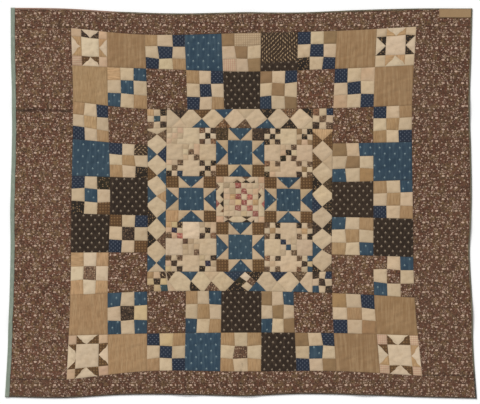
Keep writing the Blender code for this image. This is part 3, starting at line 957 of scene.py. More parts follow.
def point_strip(touches, squares, first, last):
    """Chart and corners of a strip of squares on point between two straight sides.

    squares holds the cloth of each square, one more than the places where two touch.
    """
    lines = [(first, first, first)]
    outer_row = []
    inner_row = []
    forward = 1 if last > first else -1
    steps = []
    for touch, before, after in zip(touches, squares, squares[1:]):
        steps += [
            (touch.outer_first, touch.inner_first, before, before),
            (touch.place, touch.place, f"{before}\\{touch.outer}", f"{before}/{touch.inner}"),
            (touch.outer_last, touch.inner_last, f"{touch.outer}/{after}", f"{touch.inner}\\{after}"),
        ]
    steps.append((last, last, squares[-1], squares[-1]))
    for outer, inner, outer_token, inner_token in steps:
        outer = kept_inside(outer, first, last)
        inner = kept_inside(inner, first, last)
        middle = (outer + inner) / 2
        if (middle - lines[-1][1]) * forward < NARROWEST_PATCH:
            continue
        at_end = (last - middle) * forward < 4 * NARROWEST_PATCH
        lines.append((last, last, last) if at_end else (outer, middle, inner))
        outer_row.append(outer_token)
        inner_row.append(inner_token)
        if at_end:
            break
    nodes = np.zeros((3, len(lines), 2))
    for k, places in enumerate(lines):
        for row, place in enumerate(places):
            nodes[row, k] = ((place - first) / (last - first), row / 2)
    return [outer_row, inner_row], nodes, [abs(b[1] - a[1]) for a, b in zip(lines, lines[1:])]


def doubled(chart, nodes, widths):
    """The same chart with each square divided in four."""
    fine_chart = []
    for row in chart:
        upper = []
        lower = []
        for token in row:
            a, b, stroke = letters_of(token)
            if stroke == "/":
                upper += [a, token]
                lower += [token, b]
            elif stroke:
                upper += [token, b]
                lower += [a, token]
            else:
                upper += [a, a]
                lower += [a, a]
        fine_chart += [upper, lower]
    rows, columns = nodes.shape[:2]
    fine_nodes = np.zeros((2 * rows - 1, 2 * columns - 1, 2))
    fine_nodes[::2, ::2] = nodes
    fine_nodes[::2, 1::2] = (nodes[:, :-1] + nodes[:, 1:]) / 2
    fine_nodes[1::2] = (fine_nodes[:-2:2] + fine_nodes[2::2]) / 2
    return fine_chart, fine_nodes, [width / 2 for width in widths for _ in range(2)]


def make_frame_strip(name, outer_line, inner_start, inner_end, upright):
    """One strip of the medallion's frame between the ring and the star panel."""
    touches = FRAME_STRIPS[name]
    axis = 1 if upright else 0
    outer_first = [float(part) for part in outer_line(0.0)][axis]
    outer_last = [float(part) for part in outer_line(1.0)][axis]
    inner_first = float(inner_start[axis])
    inner_last = float(inner_end[axis])
    first = (outer_first + inner_first) / 2
    last = (outer_last + inner_last) / 2
    squares = [ODD_SQUARES.get((name, k), "c") for k in range(len(touches) + 1)]
    chart, nodes, widths = point_strip(touches, squares, first, last)
    heights = [FRAME_WIDTH / 2] * 2
    if name == "diamond_strip_foot":
        chart, nodes, widths = doubled(chart, nodes, widths)
        heights = [FRAME_WIDTH / 4] * 4
        sew_four_patch(chart)

    def place(s, t):
        outer_x, outer_y = outer_line(np.clip(s, 0, 1))
        inner_x = mix(float(inner_start[0]), float(inner_end[0]), np.clip(s, 0, 1))
        inner_y = mix(float(inner_start[1]), float(inner_end[1]), np.clip(s, 0, 1))
        return mix(outer_x, inner_x, t), mix(outer_y, inner_y, t)

    sheet = pieced_sheet(nodes, chart, place, sized_alike(widths, heights[0]), heights, patch_crown)
    sew(name, [sheet])


def sized_alike(widths, height):
    """Give columns that hold slanting seams the same mesh lines as the rows."""
    return [height if width > 0.35 * height else width for width in widths]


def sew_four_patch(chart):
    """Put the four-patch into a doubled chart, where its triangles meet a cream square."""
    for k in range(len(chart[0]) - 3):
        if chart[0][k:k + 4] == list(FOUR_PATCH[0]):
            for row, tokens in zip(chart, FOUR_PATCH):
                row[k:k + 4] = tokens
            return
    raise ValueError("the foot strip has no square for the four-patch")


def make_medallion_frame():
    """Four strips of squares on point and four small nine-patches at their corners."""
    near = RING
    far = BLOCKS - RING
    end = STAR_BLOCKS
    sides = (
        ("diamond_strip_top", lambda s: seam_point(mix(*FRAME_TOP, s), near), (0, 0), (end, 0), False),
        ("diamond_strip_foot", lambda s: seam_point(mix(*FRAME_FOOT, s), far), (0, end), (end, end), False),
        ("diamond_strip_left", lambda s: seam_point(near, mix(*FRAME_LEFT, s)), (0, 0), (0, end), True),
        ("diamond_strip_right", lambda s: seam_point(far, mix(*FRAME_RIGHT, s)), (end, 0), (end, end), True),
    )
    for name, outer_line, start, finish, upright in sides:
        make_frame_strip(name, outer_line, star_point(*start), star_point(*finish), upright)
    corners = (
        ("frame_nine_patch_nw", seam_point(near, near), seam_point(FRAME_TOP.first, near),
         seam_point(near, FRAME_LEFT.first), star_point(0, 0)),
        ("frame_nine_patch_ne", seam_point(FRAME_TOP.last, near), seam_point(far, near),
         star_point(end, 0), seam_point(far, FRAME_RIGHT.first)),
        ("frame_nine_patch_sw", seam_point(near, FRAME_LEFT.last), star_point(0, end),
         seam_point(near, far), seam_point(FRAME_FOOT.first, far)),
        ("frame_nine_patch_se", star_point(end, end), seam_point(far, FRAME_RIGHT.last),
         seam_point(FRAME_FOOT.last, far), seam_point(far, far)),
    )
    thirds = (0.0, 1 / 3, 2 / 3, 1.0)
    for name, nw, ne, sw, se in corners:
        def place(u, v, nw=nw, ne=ne, sw=sw, se=se):
            x = mix(mix(float(nw[0]), float(ne[0]), u), mix(float(sw[0]), float(se[0]), u), v)
            y = mix(mix(float(nw[1]), float(ne[1]), u), mix(float(sw[1]), float(se[1]), u), v)
            return x, y
        chart = [list(letters) for letters in CORNER_NINES[name].split()]
        sheet = square_sheet(chart, thirds, thirds, place, CORNER_NINE_SIZE, 0.015)
        sew(name, [sheet])


def tiny_strip(triangles):
    """Chart and lines along one tiny strip of squares on point in the centre block."""
    lines = [0.0]
    outer_row = []
    inner_row = []
    for touch, outer, inner in triangles:
        for place, outer_token, inner_token in (
            (touch - TINY_REACH, "c", "c"),
            (touch, f"c\\{outer}", f"c/{inner}"),
            (touch + TINY_REACH, f"{outer}/c", f"{inner}\\c"),
        ):
            if place - lines[-1] > 0.02 and place < 0.995:
                lines.append(place)
                outer_row.append(outer_token)
                inner_row.append(inner_token)
    lines.append(1.0)
    outer_row.append("c")
    inner_row.append("c")
    return [outer_row, inner_row], lines


def make_centre_block(column, row):
    """The finely pieced block: red squares inside tiny strips of squares on point."""
    sheets = []

    def place(u, v):
        return star_point(column + u, row + v)

    def part(u1, u2, v1, v2):
        return lambda u, v: place(mix(u1, u2, u), mix(v1, v2, v))

    def turned(u1, u2, v1, v2):
        return lambda s, t: place(mix(u1, u2, t), mix(v1, v2, s))

    sixths = [k / 6 for k in range(7)]
    u0, u1, u2, u3 = CENTRE_COLUMNS
    v0, v1, v2, v3 = CENTRE_ROWS
    squares = [list(letters) for letters in CENTRE_SQUARES]
    sheets.append(square_sheet(squares, sixths, sixths, part(u1, u2, v1, v2), CENTRE_SIZE, 0.008))
    for va, vb in ((v0, v1), (v2, v3)):
        for ua, ub in ((u0, u1), (u2, u3)):
            corner = part(ua, ub, va, vb)
            sheets.append(square_sheet([["Q"]], (0.0, 1.0), (0.0, 1.0), corner, CENTRE_CORNER_SIZE))
    runs = {
        "top": part(u1, u2, v0, v1),
        "foot": part(u1, u2, v3, v2),
        "left": turned(u0, u1, v1, v2),
        "right": turned(u3, u2, v1, v2),
    }
    for side, run in runs.items():
        chart, along = tiny_strip(CENTRE_STRIPS[side])
        u, v = np.meshgrid(along, (0.0, 0.5, 1.0))
        nodes = np.stack([u, v], axis=-1)
        widths = sized_alike([CENTRE_SIZE * (b - a) for a, b in zip(along, along[1:])], HALF_TINY_STRIP)
        sheets.append(pieced_sheet(nodes, chart, run, widths, [HALF_TINY_STRIP] * 2, patch_crown))
    sew("centre_block", sheets)


def make_star_panel():
    """Three rows of three blocks: double nine-patches, stars and the centre block."""
    quarters = (0.0, 0.25, 0.5, 0.75, 1.0)
    ninths = [k / 9 for k in range(10)]
    for row, blocks in enumerate(STAR_PANEL):
        for column, name in enumerate(blocks):
            def place(u, v, column=column, row=row):
                return star_point(column + np.clip(u, 0, 1), row + np.clip(v, 0, 1))

            if name in STARS:
                chart = star_chart(STARS[name])
                sheet = square_sheet(chart, quarters, quarters, place, STAR_BLOCK_SIZE, 0.004)
                sew(name, [sheet])
            elif name in DOUBLE_NINES:
                chart = double_nine_chart(name)
                sheet = square_sheet(chart, ninths, ninths, place, STAR_BLOCK_SIZE, 0.005)
                sew(name, [sheet])
            else:
                make_centre_block(column, row)


def distances_inwards(lap, width, fine):
    """Distances from the quilt's edge of a border's grid lines, rim first."""
    rim_end = lap + 1.0
    ramp = np.linspace(rim_end, rim_end + RAMP, 5)
    body = np.linspace(rim_end + RAMP, width - 8.0, fine)
    seam = width - np.array([5.0, 2.8, 1.3, 0.0])
    return np.concatenate([[BINDING_FOLD + CLEARANCE], ramp, body[1:], seam])


def thickening(distance, lap):
    """0 on the rim inside a binding, 1 where the border has its full thickness."""
    share = np.clip((distance - lap - 1.0) / RAMP, 0.0, 1.0)
    return share * share * (3 - 2 * share)


def border_sheet(x, y, share, from_seam, shade, flip):
    """A calico border over a grid of plan points."""
    lift = ripple_lift(x, y)
    rim_low = BINDING_CLOTH + CLEARANCE
    drop, crease_shade = crease_drop(x, y)
    low = lift + mix(rim_low, 0.0, share)
    at_seam = np.exp(-from_seam / THINNING_REACH)
    full = mix(BORDER_THICKNESS, SEAM_THICKNESS - SEAM_DIP, at_seam)
    waves = unevenness(x, y, BROAD_WAVES) + 1.2 * unevenness(x, y, SMALL_WAVES)
    high = lift + mix(rim_low + RIM_THICKNESS, full + waves - drop, share)
    sheet = Sheet()
    sheet.cuts.append(Cut("brown_calico", 0.0, (0.0, 0.0), (shade, shade, shade)))
    # Darker along its seams by soil and painted shade, and by painted shade along the creases
    index = sheet.add_points(x, y, high, np.maximum(np.exp(-from_seam / SOIL_AND_SHADE_REACH), crease_shade))
    sheet.add_faces(quads_of(index).reshape(-1, 4), 1)
    close_sheet(sheet, index, low=np.maximum(low, 0.0))
    if flip:
        sheet.turn_over()
    return sheet


def sew_border(name, sheet, x, y):
    """Sew a border from its one sheet, working out its flat size from its plan."""
    rim = rim_of(np.arange(x.size).reshape(x.shape))
    area = area_inside(x.ravel()[rim], y.ravel()[rim])
    width = np.ptp(x) * MM
    length = np.ptp(y) * MM
    sew(name, [sheet], flat=(width, length), area=min(area, width * length))


def border_stations(side):
    """Places along a border where its mesh lines lie, in blocks, close together at its creases."""
    stations = [np.linspace(0, BLOCKS, BLOCKS * BLOCK_STATIONS + 1)]
    for first, last in CREASED_STRETCHES[side]:
        stations.append(np.linspace(first, last, round((last - first) * CREASE_STATIONS) + 1))
    return np.unique(np.round(np.concatenate(stations), 4))


def make_side_border(name, edge, seam, lap, shade, flip):
    """A wide strip of calico from a side of the quilt to the ring."""
    levels = border_stations("side")
    inner_x, inner_y = seam_point(seam, levels)
    outer_x = edge(inner_y)
    width = np.abs(inner_x - outer_x)
    distances = np.stack([distances_inwards(lap, span, SIDE_LINES) for span in width])
    x = mix(outer_x[:, None], inner_x[:, None], distances / width[:, None])
    y = np.repeat(inner_y[:, None], x.shape[1], axis=1)
    from_inner = np.abs(x - inner_x[:, None])
    from_ends = np.minimum(np.abs(y - inner_y[0]), np.abs(y - inner_y[-1]))
    share = thickening(distances, lap)
    sheet = border_sheet(x, y, share, np.minimum(from_inner, from_ends), shade, flip)
    sew_border(name, sheet, x, y)


def corner_columns(edge, side, seam_x, seam_y, lap):
    """Columns of a top or foot border between a side of the quilt and the ring, rim first."""
    side_x = float(side(seam_y))
    inwards = 1 if seam_x > side_x else -1
    columns = []
    for distance in distances_inwards(lap, abs(seam_x - side_x), CORNER_LINES)[:-4]:
        inner_x = side_x + inwards * distance
        outer_y = float(edge(side(edge(inner_x)) + inwards * distance))
        outer_x = float(side(outer_y)) + inwards * distance
        columns.append((inner_x, seam_y, outer_x, outer_y, float(thickening(distance, lap))))
    return columns


def end_columns(edge, row):
    """Columns of a top or foot border: inner points, outer points, and place in the rim."""
    left_x, left_y = (float(part) for part in seam_point(0, row))
    right_x, right_y = (float(part) for part in seam_point(BLOCKS, row))
    columns = corner_columns(edge, left_edge, left_x, left_y, WIDE_BINDING)
    for u in border_stations("end"):
        x, y = (float(part) for part in seam_point(u, row))
        columns.append((x, y, x, float(edge(x)), 1.0))
    columns += reversed(corner_columns(edge, right_edge, right_x, right_y, NARROW_BINDING))
    return np.array(columns).T


def make_end_border(name, edge, row, shade, flip):
    """A narrow strip of calico across the whole top or foot of the quilt."""
    inner_x, inner_y, outer_x, outer_y, side_share = end_columns(edge, row)
    width = np.abs(inner_y - outer_y)
    distances = np.stack([distances_inwards(NARROW_BINDING, span, END_LINES) for span in width], axis=1)
    x = mix(outer_x, inner_x, distances / width)
    y = mix(outer_y, inner_y, distances / width)
    share = np.minimum(thickening(distances, NARROW_BINDING), side_share)
    sheet = border_sheet(x, y, share, width - distances, shade, flip)
    sew_border(name, sheet, x, y)


def binding_section(lap):
    """Section of a binding, open inwards: distance from the edge, height, way round it."""
    height = 2 * (BINDING_CLOTH + CLEARANCE) + RIM_THICKNESS
    inner = [(lap, 0.0), (lap * 0.5, 0.0), (FOLD_INSET, 0.0)]
    fold = []
    for k in range(1, 8):
        angle = math.pi * k / 8
        fold.append((FOLD_INSET * (1 - math.sin(angle)), height / 2 - height / 2 * math.cos(angle)))
    outside = inner + fold + [(FOLD_INSET, height)]
    outside += [(share * (lap - FOLD_INSET) + FOLD_INSET, height) for share in (0.2, 0.4, 0.6, 0.8, 0.93)]
    outside += [(lap, height - 0.25)]
    inside = [
        (lap, height - BINDING_CLOTH),
        (BINDING_FOLD, height - BINDING_CLOTH),
        (BINDING_FOLD, BINDING_CLOTH),
        (lap, BINDING_CLOTH),
    ]
    section = outside + inside
    way = [0.0]
    for (a, b), (c, d) in zip(section, section[1:]):
        way.append(way[-1] + math.hypot(c - a, d - b))
    return section, way


def make_binding(name, edge_points, inwards, lap, flip):
    """Cloth folded over an edge: its section carried along points on that edge."""
    section, way = binding_section(lap)
    edge_points = np.asarray(edge_points, dtype=float)
    steps = np.hypot(*np.diff(edge_points, axis=0).T)
    along = np.concatenate([[0.0], np.cumsum(steps)])
    distance = np.array([point[0] for point in section])
    height = np.array([point[1] for point in section])
    wobble = 0.6 * np.sin(along / 23.0) + 0.4 * np.sin(along / 9.0 + 1.0)
    reach = distance[None, :] + np.where(distance > 0.8 * lap, 1.0, 0.0)[None, :] * wobble[:, None]
    x = edge_points[:, 0:1] + inwards[0] * reach
    y = edge_points[:, 1:2] + inwards[1] * reach
    top = (height > 3.0)[None, :] & (distance > 1.0)[None, :]
    pucker = 0.18 * np.sin(along / 5.5)[:, None] + 0.12 * np.sin(along / 13.0 + 2.0)[:, None]
    z = height[None, :] + ripple_lift(x, y) + np.where(top, pucker, 0.0)
    sheet = Sheet()
    sheet.cuts.append(Cut(f"{name}_cotton", 0.0, (0.0, 0.0), (1.0, 1.0, 1.0)))
    weave = np.stack([np.repeat(along[:, None], len(section), axis=1).ravel(),
                      np.tile(np.array(way), len(along))], axis=1)
    # Darker near the lap's edge, by soil and painted shade where it meets the border
    at_lap = np.exp(-np.abs(distance - lap) / 2.0)[None, :] * np.ones_like(x)
    index = sheet.add_points(x, y, z, at_lap * 0.7, weave=weave)
    wrapped = np.concatenate([index, index[:, :1]], axis=1)
    sheet.add_faces(quads_of(wrapped).reshape(-1, 4), 1)
    sheet.add_faces([index[0].tolist()], 1, smooth=False)
    sheet.add_faces([index[-1][::-1].tolist()], 1, smooth=False)
    if flip:
        sheet.turn_over()
    flat_width = (2 * lap + 2 * (BINDING_CLOTH + CLEARANCE) + RIM_THICKNESS) * MM
    sew(name, [sheet], flat=(flat_width, along[-1] * MM))


def make_bindings():
    """A broad binding down the left side and narrow ones round the rest."""
    fine = np.linspace(0, 1, 241)
    left_first = float(left_edge(seam_point(0, 0)[1]))
    left_last = float(left_edge(seam_point(0, BLOCKS)[1]))
    right_first = float(right_edge(seam_point(BLOCKS, 0)[1]))
    right_last = float(right_edge(seam_point(BLOCKS, BLOCKS)[1]))
    left_y = mix(float(top_edge(left_first)), float(foot_edge(left_last)), fine)
    right_y = mix(float(top_edge(right_first)), float(foot_edge(right_last)), fine)
    left = np.stack([left_edge(left_y), left_y], axis=1)
    right = np.stack([right_edge(right_y), right_y], axis=1)
    make_binding("binding_left", left, (1.0, 0.0), WIDE_BINDING, False)
    make_binding("binding_right", right, (-1.0, 0.0), NARROW_BINDING, True)
    ends = (("binding_top", top_edge, -1.0, False), ("binding_foot", foot_edge, 1.0, True))
    for name, edge, inward, flip in ends:
        first = float(left_edge(edge(END_STATIONS[0].x))) + WIDE_BINDING + CORNER_GAP
        last = float(right_edge(edge(END_STATIONS[-1].x))) - NARROW_BINDING - CORNER_GAP
        x = mix(first, last, fine)
        points = np.stack([x, edge(x)], axis=1)
        make_binding(name, points, (0.0, inward), NARROW_BINDING, flip)


def make_corner_strip():
    """The short tan strip that lies on the top edge at the right-hand corner."""
    base = 2 * (BINDING_CLOTH + CLEARANCE) + RIM_THICKNESS + CLEARANCE
    along = np.linspace(STRIP_LEFT, STRIP_RIGHT, 41)
    down = np.linspace(0, 1, 13)
    x = np.repeat(along[None, :], len(down), axis=0)
    top = top_edge(x) - STRIP_MARGIN
    foot = top_edge(x) - STRIP_BELOW_TOP
    y = mix(top, foot, down[:, None])
    wave = 0.25 * np.sin(x / 11.0) * np.sin(y / 9.0) + 0.25
    sheet = Sheet()
    sheet.cuts.append(Cut("tan_twill", 0.0, (0.0, 0.0), (1.0, 1.0, 1.0)))
    # Darker towards its edges, by soil and painted shade
    edge_nearness = np.minimum(np.minimum(x - STRIP_LEFT, STRIP_RIGHT - x), np.minimum(top - y, y - foot))
    index = sheet.add_points(x, y, base + STRIP_CLOTH + wave, np.exp(-edge_nearness / SOIL_AND_SHADE_REACH) * 0.6)
    sheet.add_faces(quads_of(index).reshape(-1, 4), 1)
    close_sheet(sheet, index, low=base + wave)
    sheet.cuts[0] = sheet.cuts[1]
    flat = ((STRIP_RIGHT - STRIP_LEFT) * MM, (STRIP_BELOW_TOP - STRIP_MARGIN) * MM)
    sew("corner_strip", [sheet], flat=flat)


def linear(red, green, blue):
    """A dye's colour from its everyday numbers, as light."""
    parts = []
    for part in (red, green, blue):
        share = part / 255
        parts.append(share / 12.92 if share <= 0.04045 else ((share + 0.055) / 1.055) ** 2.4)
    return (*parts, 1.0)


class Loom:
    """Lays out the nodes of one tree and joins them."""

    def __init__(self, tree):
        self.tree = tree

    def feed(self, socket, value):
        """Join a socket to another, or set it to a plain value."""
        if isinstance(value, bpy.types.NodeSocket):
            self.tree.links.new(value, socket)
        elif value is not None:
            socket.default_value = value

    def node(self, kind, feeds=None, **settings):
        """A node with its settings, and what is fed to its inputs by name or number."""
        made = self.tree.nodes.new(kind)
        for name, value in settings.items():
            setattr(made, name, value)
        for key, value in (feeds or {}).items():
            self.feed(made.inputs[key], value)
        return made

    def math(self, operation, a, b=None):
        """One sum."""
        return self.node("ShaderNodeMath", {0: a, 1: b}, operation=operation).outputs[0]

    def plus(self, a, b):
        """Two values added."""
        return self.math("ADD", a, b)

    def less(self, a, b):
        """The second value taken from the first."""
        return self.math("SUBTRACT", a, b)

    def times(self, a, b):
        """Two values multiplied."""
        return self.math("MULTIPLY", a, b)

    def over(self, a, b):
        """The first value divided by the second."""
        return self.math("DIVIDE", a, b)

    def most(self, a, b):
        """The larger of two values."""
        return self.math("MAXIMUM", a, b)

    def wave(self, value):
        """A value's sine."""
        return self.math("SINE", value)

    def size(self, value):
        """A value without its sign."""
        return self.math("ABSOLUTE", value)

    def directions(self, place):
        """The two directions of a place on the cloth."""
        return self.node("ShaderNodeSeparateXYZ", {0: place}).outputs[:2]

    def point(self, x, y, z=0.0):
        """A place put together from its directions."""
        return self.node("ShaderNodeCombineXYZ", {0: x, 1: y, 2: z}).outputs[0]

    def vectors(self, operation, a, b, c=None):
        """One sum of places."""
        return self.node("ShaderNodeVectorMath", {0: a, 1: b, 2: c}, operation=operation).outputs[0]

    def wandering(self, place, scale, reach):
        """A place pushed about by soft noise."""
        noise = self.node("ShaderNodeTexNoise", {"Vector": place, "Scale": scale, "Detail": 1.0})
        return self.vectors("MULTIPLY_ADD", noise.outputs["Color"], (reach, reach, 0.0), place)

    def blend(self, share, a, b, kind="MIX"):
        """Two colours blended by a share."""
        made = self.node("ShaderNodeMix", {0: share, 6: a, 7: b}, data_type="RGBA", blend_type=kind)
        return made.outputs[2]

    def span(self, value, low, high, to_low=0.0, to_high=1.0, soft=True):
        """A value carried from one range to another."""
        feeds = {0: value, 1: low, 2: high, 3: to_low, 4: to_high}
        kind = "SMOOTHSTEP" if soft else "LINEAR"
        return self.node("ShaderNodeMapRange", feeds, interpolation_type=kind).outputs[0]

    def noise(self, place, scale, detail=2.0, roughness=0.5):
        """Soft unevenness from 0 to 1."""
        feeds = {"Vector": place, "Scale": scale, "Detail": detail, "Roughness": roughness}
        return self.node("ShaderNodeTexNoise", feeds).outputs["Fac"]

    def scaled(self, place, x, y):
        """A place with its two directions stretched."""
        return self.node("ShaderNodeMapping", {"Vector": place, "Scale": (x, y, 1.0)}).outputs[0]

    def placed(self, group, feeds):
        """A shared effect with its own values."""
        made = self.tree.nodes.new("ShaderNodeGroup")
        made.node_tree = group
        for name, value in feeds.items():
            self.feed(made.inputs[name], value)
        return made.outputs


NUMBER = "NodeSocketFloat"
PLACE = "NodeSocketVector"
COLOUR = "NodeSocketColor"


def start_effect(name, inputs, outputs):
    """Begin a shared effect: a node group with named inputs and outputs."""
    group = bpy.data.node_groups.new(name, "ShaderNodeTree")
    for label, kind, default in inputs:
        socket = group.interface.new_socket(label, in_out="INPUT", socket_type=kind)
        if default is not None:
            socket.default_value = default
    for label, kind in outputs:
        group.interface.new_socket(label, in_out="OUTPUT", socket_type=kind)
    start = group.nodes.new("NodeGroupInput")
    end = group.nodes.new("NodeGroupOutput")
    return group, Loom(group), start.outputs, end.inputs


# How far from a petal's middle its edge is soft, in its own lengths
PETAL_EDGE = (0.56, 0.44)


def petal_effect():
    """One soft-edged oval mark at a place, such as a petal, a leaf or a stem."""
    group, loom, start, end = start_effect(
        "petal",
        [("Place", PLACE, None), ("Centre", PLACE, None), ("Turn", NUMBER, 0.0),
         ("Length", NUMBER, 0.004), ("Width", NUMBER, 0.002)],
        [("Mask", NUMBER)],
    )
    moved = loom.vectors("SUBTRACT", start["Place"], start["Centre"])
    feeds = {"Vector": moved, "Angle": start["Turn"]}
    x, y = loom.directions(loom.node("ShaderNodeVectorRotate", feeds, rotation_type="Z_AXIS").outputs[0])
    along = loom.math("POWER", loom.over(x, start["Length"]), 2.0)
    aside = loom.math("POWER", loom.over(y, start["Width"]), 2.0)
    reach = loom.math("SQRT", loom.plus(along, aside))
    loom.feed(end["Mask"], loom.span(reach, *PETAL_EDGE))
    return group


def lattice_effect():
    """Places inside the cells of a printed repeat whose columns are set half a repeat off."""
    group, loom, start, end = start_effect(
        "half drop repeat",
        [("Place", PLACE, None), ("Width", NUMBER, 0.05), ("Height", NUMBER, 0.06)],
        [("Inside", PLACE), ("Odd column", NUMBER)],
    )
    x, y = loom.directions(start["Place"])
    across = loom.over(x, start["Width"])
    odd = loom.math("FLOORED_MODULO", loom.math("FLOOR", across), 2.0)
    along = loom.plus(loom.over(y, start["Height"]), loom.times(odd, 0.5))
    x = loom.times(loom.less(loom.math("FRACT", across), 0.5), start["Width"])
    y = loom.times(loom.less(loom.math("FRACT", along), 0.5), start["Height"])
    loom.feed(end["Inside"], loom.point(x, y))
    loom.feed(end["Odd column"], odd)
    return group


def add_marks(loom, petal, place, marks):
    """The strongest of several petal marks."""
    total = None
    for x, y, turn, length, width in marks:
        feeds = {"Place": place, "Centre": (x * MM, y * MM, 0.0), "Turn": turn,
                 "Length": length * MM, "Width": width * MM}
        mask = loom.placed(petal, feeds)["Mask"]
        total = mask if total is None else loom.most(total, mask)
    return total


# The printed marks in one repeat: x, y, turn, length and width of each, in millimetres
SPRIG_BLOOM = (
    (0.2, 1.6, 0.3, 4.6, 3.8),
    (-1.9, 0.2, 0.9, 2.6, 1.7),
    (2.2, 0.0, -0.7, 2.6, 1.6),
    (0.9, 3.9, 1.1, 2.2, 1.7),
)
SPRIG_LEAVES = (
    (0.1, -1.8, 1.45, 5.2, 0.9),
    (-1.4, -2.2, -0.7, 3.6, 1.6),
    (1.5, -2.6, 0.8, 3.4, 1.5),
    (-0.2, -4.3, 1.2, 2.8, 1.3),
)
LARGE_BLOSSOMS = ((-9.0, -8.0, 1.5, 14.5, 9.5), (-8.0, 14.0, 0.25, 12.0, 6.5))
BLOSSOM_HEARTS = ((-9.0, -8.0, 1.5, 5.0, 3.2), (-8.0, 14.0, 0.25, 4.0, 2.2))
MIDDLING_BLOSSOMS = (
    (-23.0, 43.0, 0.0, 7.5, 7.0),
    (18.0, -30.0, 0.6, 7.0, 6.0),
    (-18.0, -33.0, 1.0, 7.0, 5.0),
    (22.0, 32.0, 1.3, 8.0, 5.0),
)
ROSETTE = (
    (20.0, -4.0, 0.0, 5.0, 4.6),
    (17.0, 4.0, 0.0, 4.6, 4.6),
    (9.5, 6.5, 0.0, 4.6, 4.8),
    (3.5, 0.5, 0.0, 4.4, 4.6),
    (4.5, -8.5, 0.0, 4.6, 4.6),
    (12.0, -11.5, 0.0, 5.0, 4.6),
    (12.0, -2.5, 0.0, 4.0, 4.0),
)


def sprig_effect(petal, lattice):
    """A small sprig, a round bloom and a few leaves on a stem, printed in a half drop."""
    group, loom, start, end = start_effect(
        "printed sprigs",
        [("Place", PLACE, None), ("Width", NUMBER, 0.05), ("Height", NUMBER, 0.06), ("Size", NUMBER, 1.0)],
        [("Bloom", NUMBER), ("Leaf", NUMBER)],
    )
    cell = loom.placed(lattice, {name: start[name] for name in ("Place", "Width", "Height")})
    feeds = {0: cell["Inside"], 3: start["Size"]}
    inside = loom.node("ShaderNodeVectorMath", feeds, operation="SCALE").outputs[0]
    side = loom.span(cell["Odd column"], 0.0, 1.0, 1.0, -1.0, soft=False)
    inside = loom.vectors("MULTIPLY", inside, loom.point(side, 1.0, 1.0))
    loom.feed(end["Bloom"], add_marks(loom, petal, inside, SPRIG_BLOOM))
    loom.feed(end["Leaf"], add_marks(loom, petal, inside, SPRIG_LEAVES))
    return group


# Slubs are long and thin along the warp, and then along the weft
SLUB_SCALES = ((900.0, 26.0), (26.0, 900.0))


def weave_effect():
    """Plain-woven threads: height of the cloth, and how light each thread is, partly its own tone and partly
    a painted highlight on its crown.
    """
    group, loom, start, end = start_effect(
        "plain weave",
        [("Place", PLACE, None), ("Threads", NUMBER, 2000.0)],
        [("Height", NUMBER), ("Tone and highlight", NUMBER)],
    )
    x, y = loom.directions(start["Place"])
    turns = loom.times(start["Threads"], math.pi)
    warp = loom.wave(loom.times(x, turns))
    weft = loom.wave(loom.times(y, turns))
    over = loom.math("GREATER_THAN", loom.times(warp, weft), 0.0)
    warp_height = loom.times(loom.size(warp), over)
    weft_height = loom.times(loom.size(weft), loom.less(1.0, over))
    height = loom.plus(warp_height, weft_height)
    slubs = loom.plus(*(loom.noise(loom.scaled(start["Place"], *way), 1.0) for way in SLUB_SCALES))
    loom.feed(end["Height"], loom.plus(height, loom.times(slubs, 0.6)))
    # The slubs give each thread its own tone; the share of the height lightens the threads' crowns as a
    # painted highlight
    thread_tone_and_highlight = loom.plus(loom.span(slubs, 0.5, 1.5, 0.90, 1.10, soft=False), loom.times(height, 0.05))
    loom.feed(end["Tone and highlight"], thread_tone_and_highlight)
    return group


def handling_effect():
    """Age: where the cloth has faded, where it is darkened by stains, by soil and painted shade along its
    seams and by painted shade in its creases, and how it is rumpled.
    """
    group, loom, start, end = start_effect(
        "years of handling",
        [("Place", PLACE, None), ("Seam", NUMBER, 0.0)],
        [("Fade", NUMBER), ("Soil and shade", NUMBER), ("Rumple", NUMBER)],
    )
    broad = loom.noise(start["Place"], 2.6, 3.0)
    middling = loom.noise(start["Place"], 19.0, 3.0, 0.6)
    fine = loom.noise(start["Place"], 120.0, 3.0, 0.6)
    fade = loom.span(loom.plus(broad, loom.times(middling, 0.6)), 0.6, 1.05)
    stains = loom.span(loom.noise(loom.scaled(start["Place"], 1.0, 1.3), 7.0, 4.0, 0.65), 0.60, 0.74)
    # Along seams the darkening is soil and painted shade, and in creases painted shade
    along_seam = loom.times(start["Seam"], loom.span(middling, 0.25, 0.75, 0.5, 1.0))
    soil_and_shade = loom.most(loom.times(stains, 0.35), along_seam)
    rumple = loom.plus(middling, loom.times(fine, 0.35))
    pucker = loom.times(loom.noise(start["Place"], 75.0, 1.0), loom.plus(start["Seam"], 0.15))
    loom.feed(end["Fade"], fade)
    loom.feed(end["Soil and shade"], soil_and_shade)
    loom.feed(end["Rumple"], loom.plus(rumple, loom.times(pucker, 1.5)))
    return group


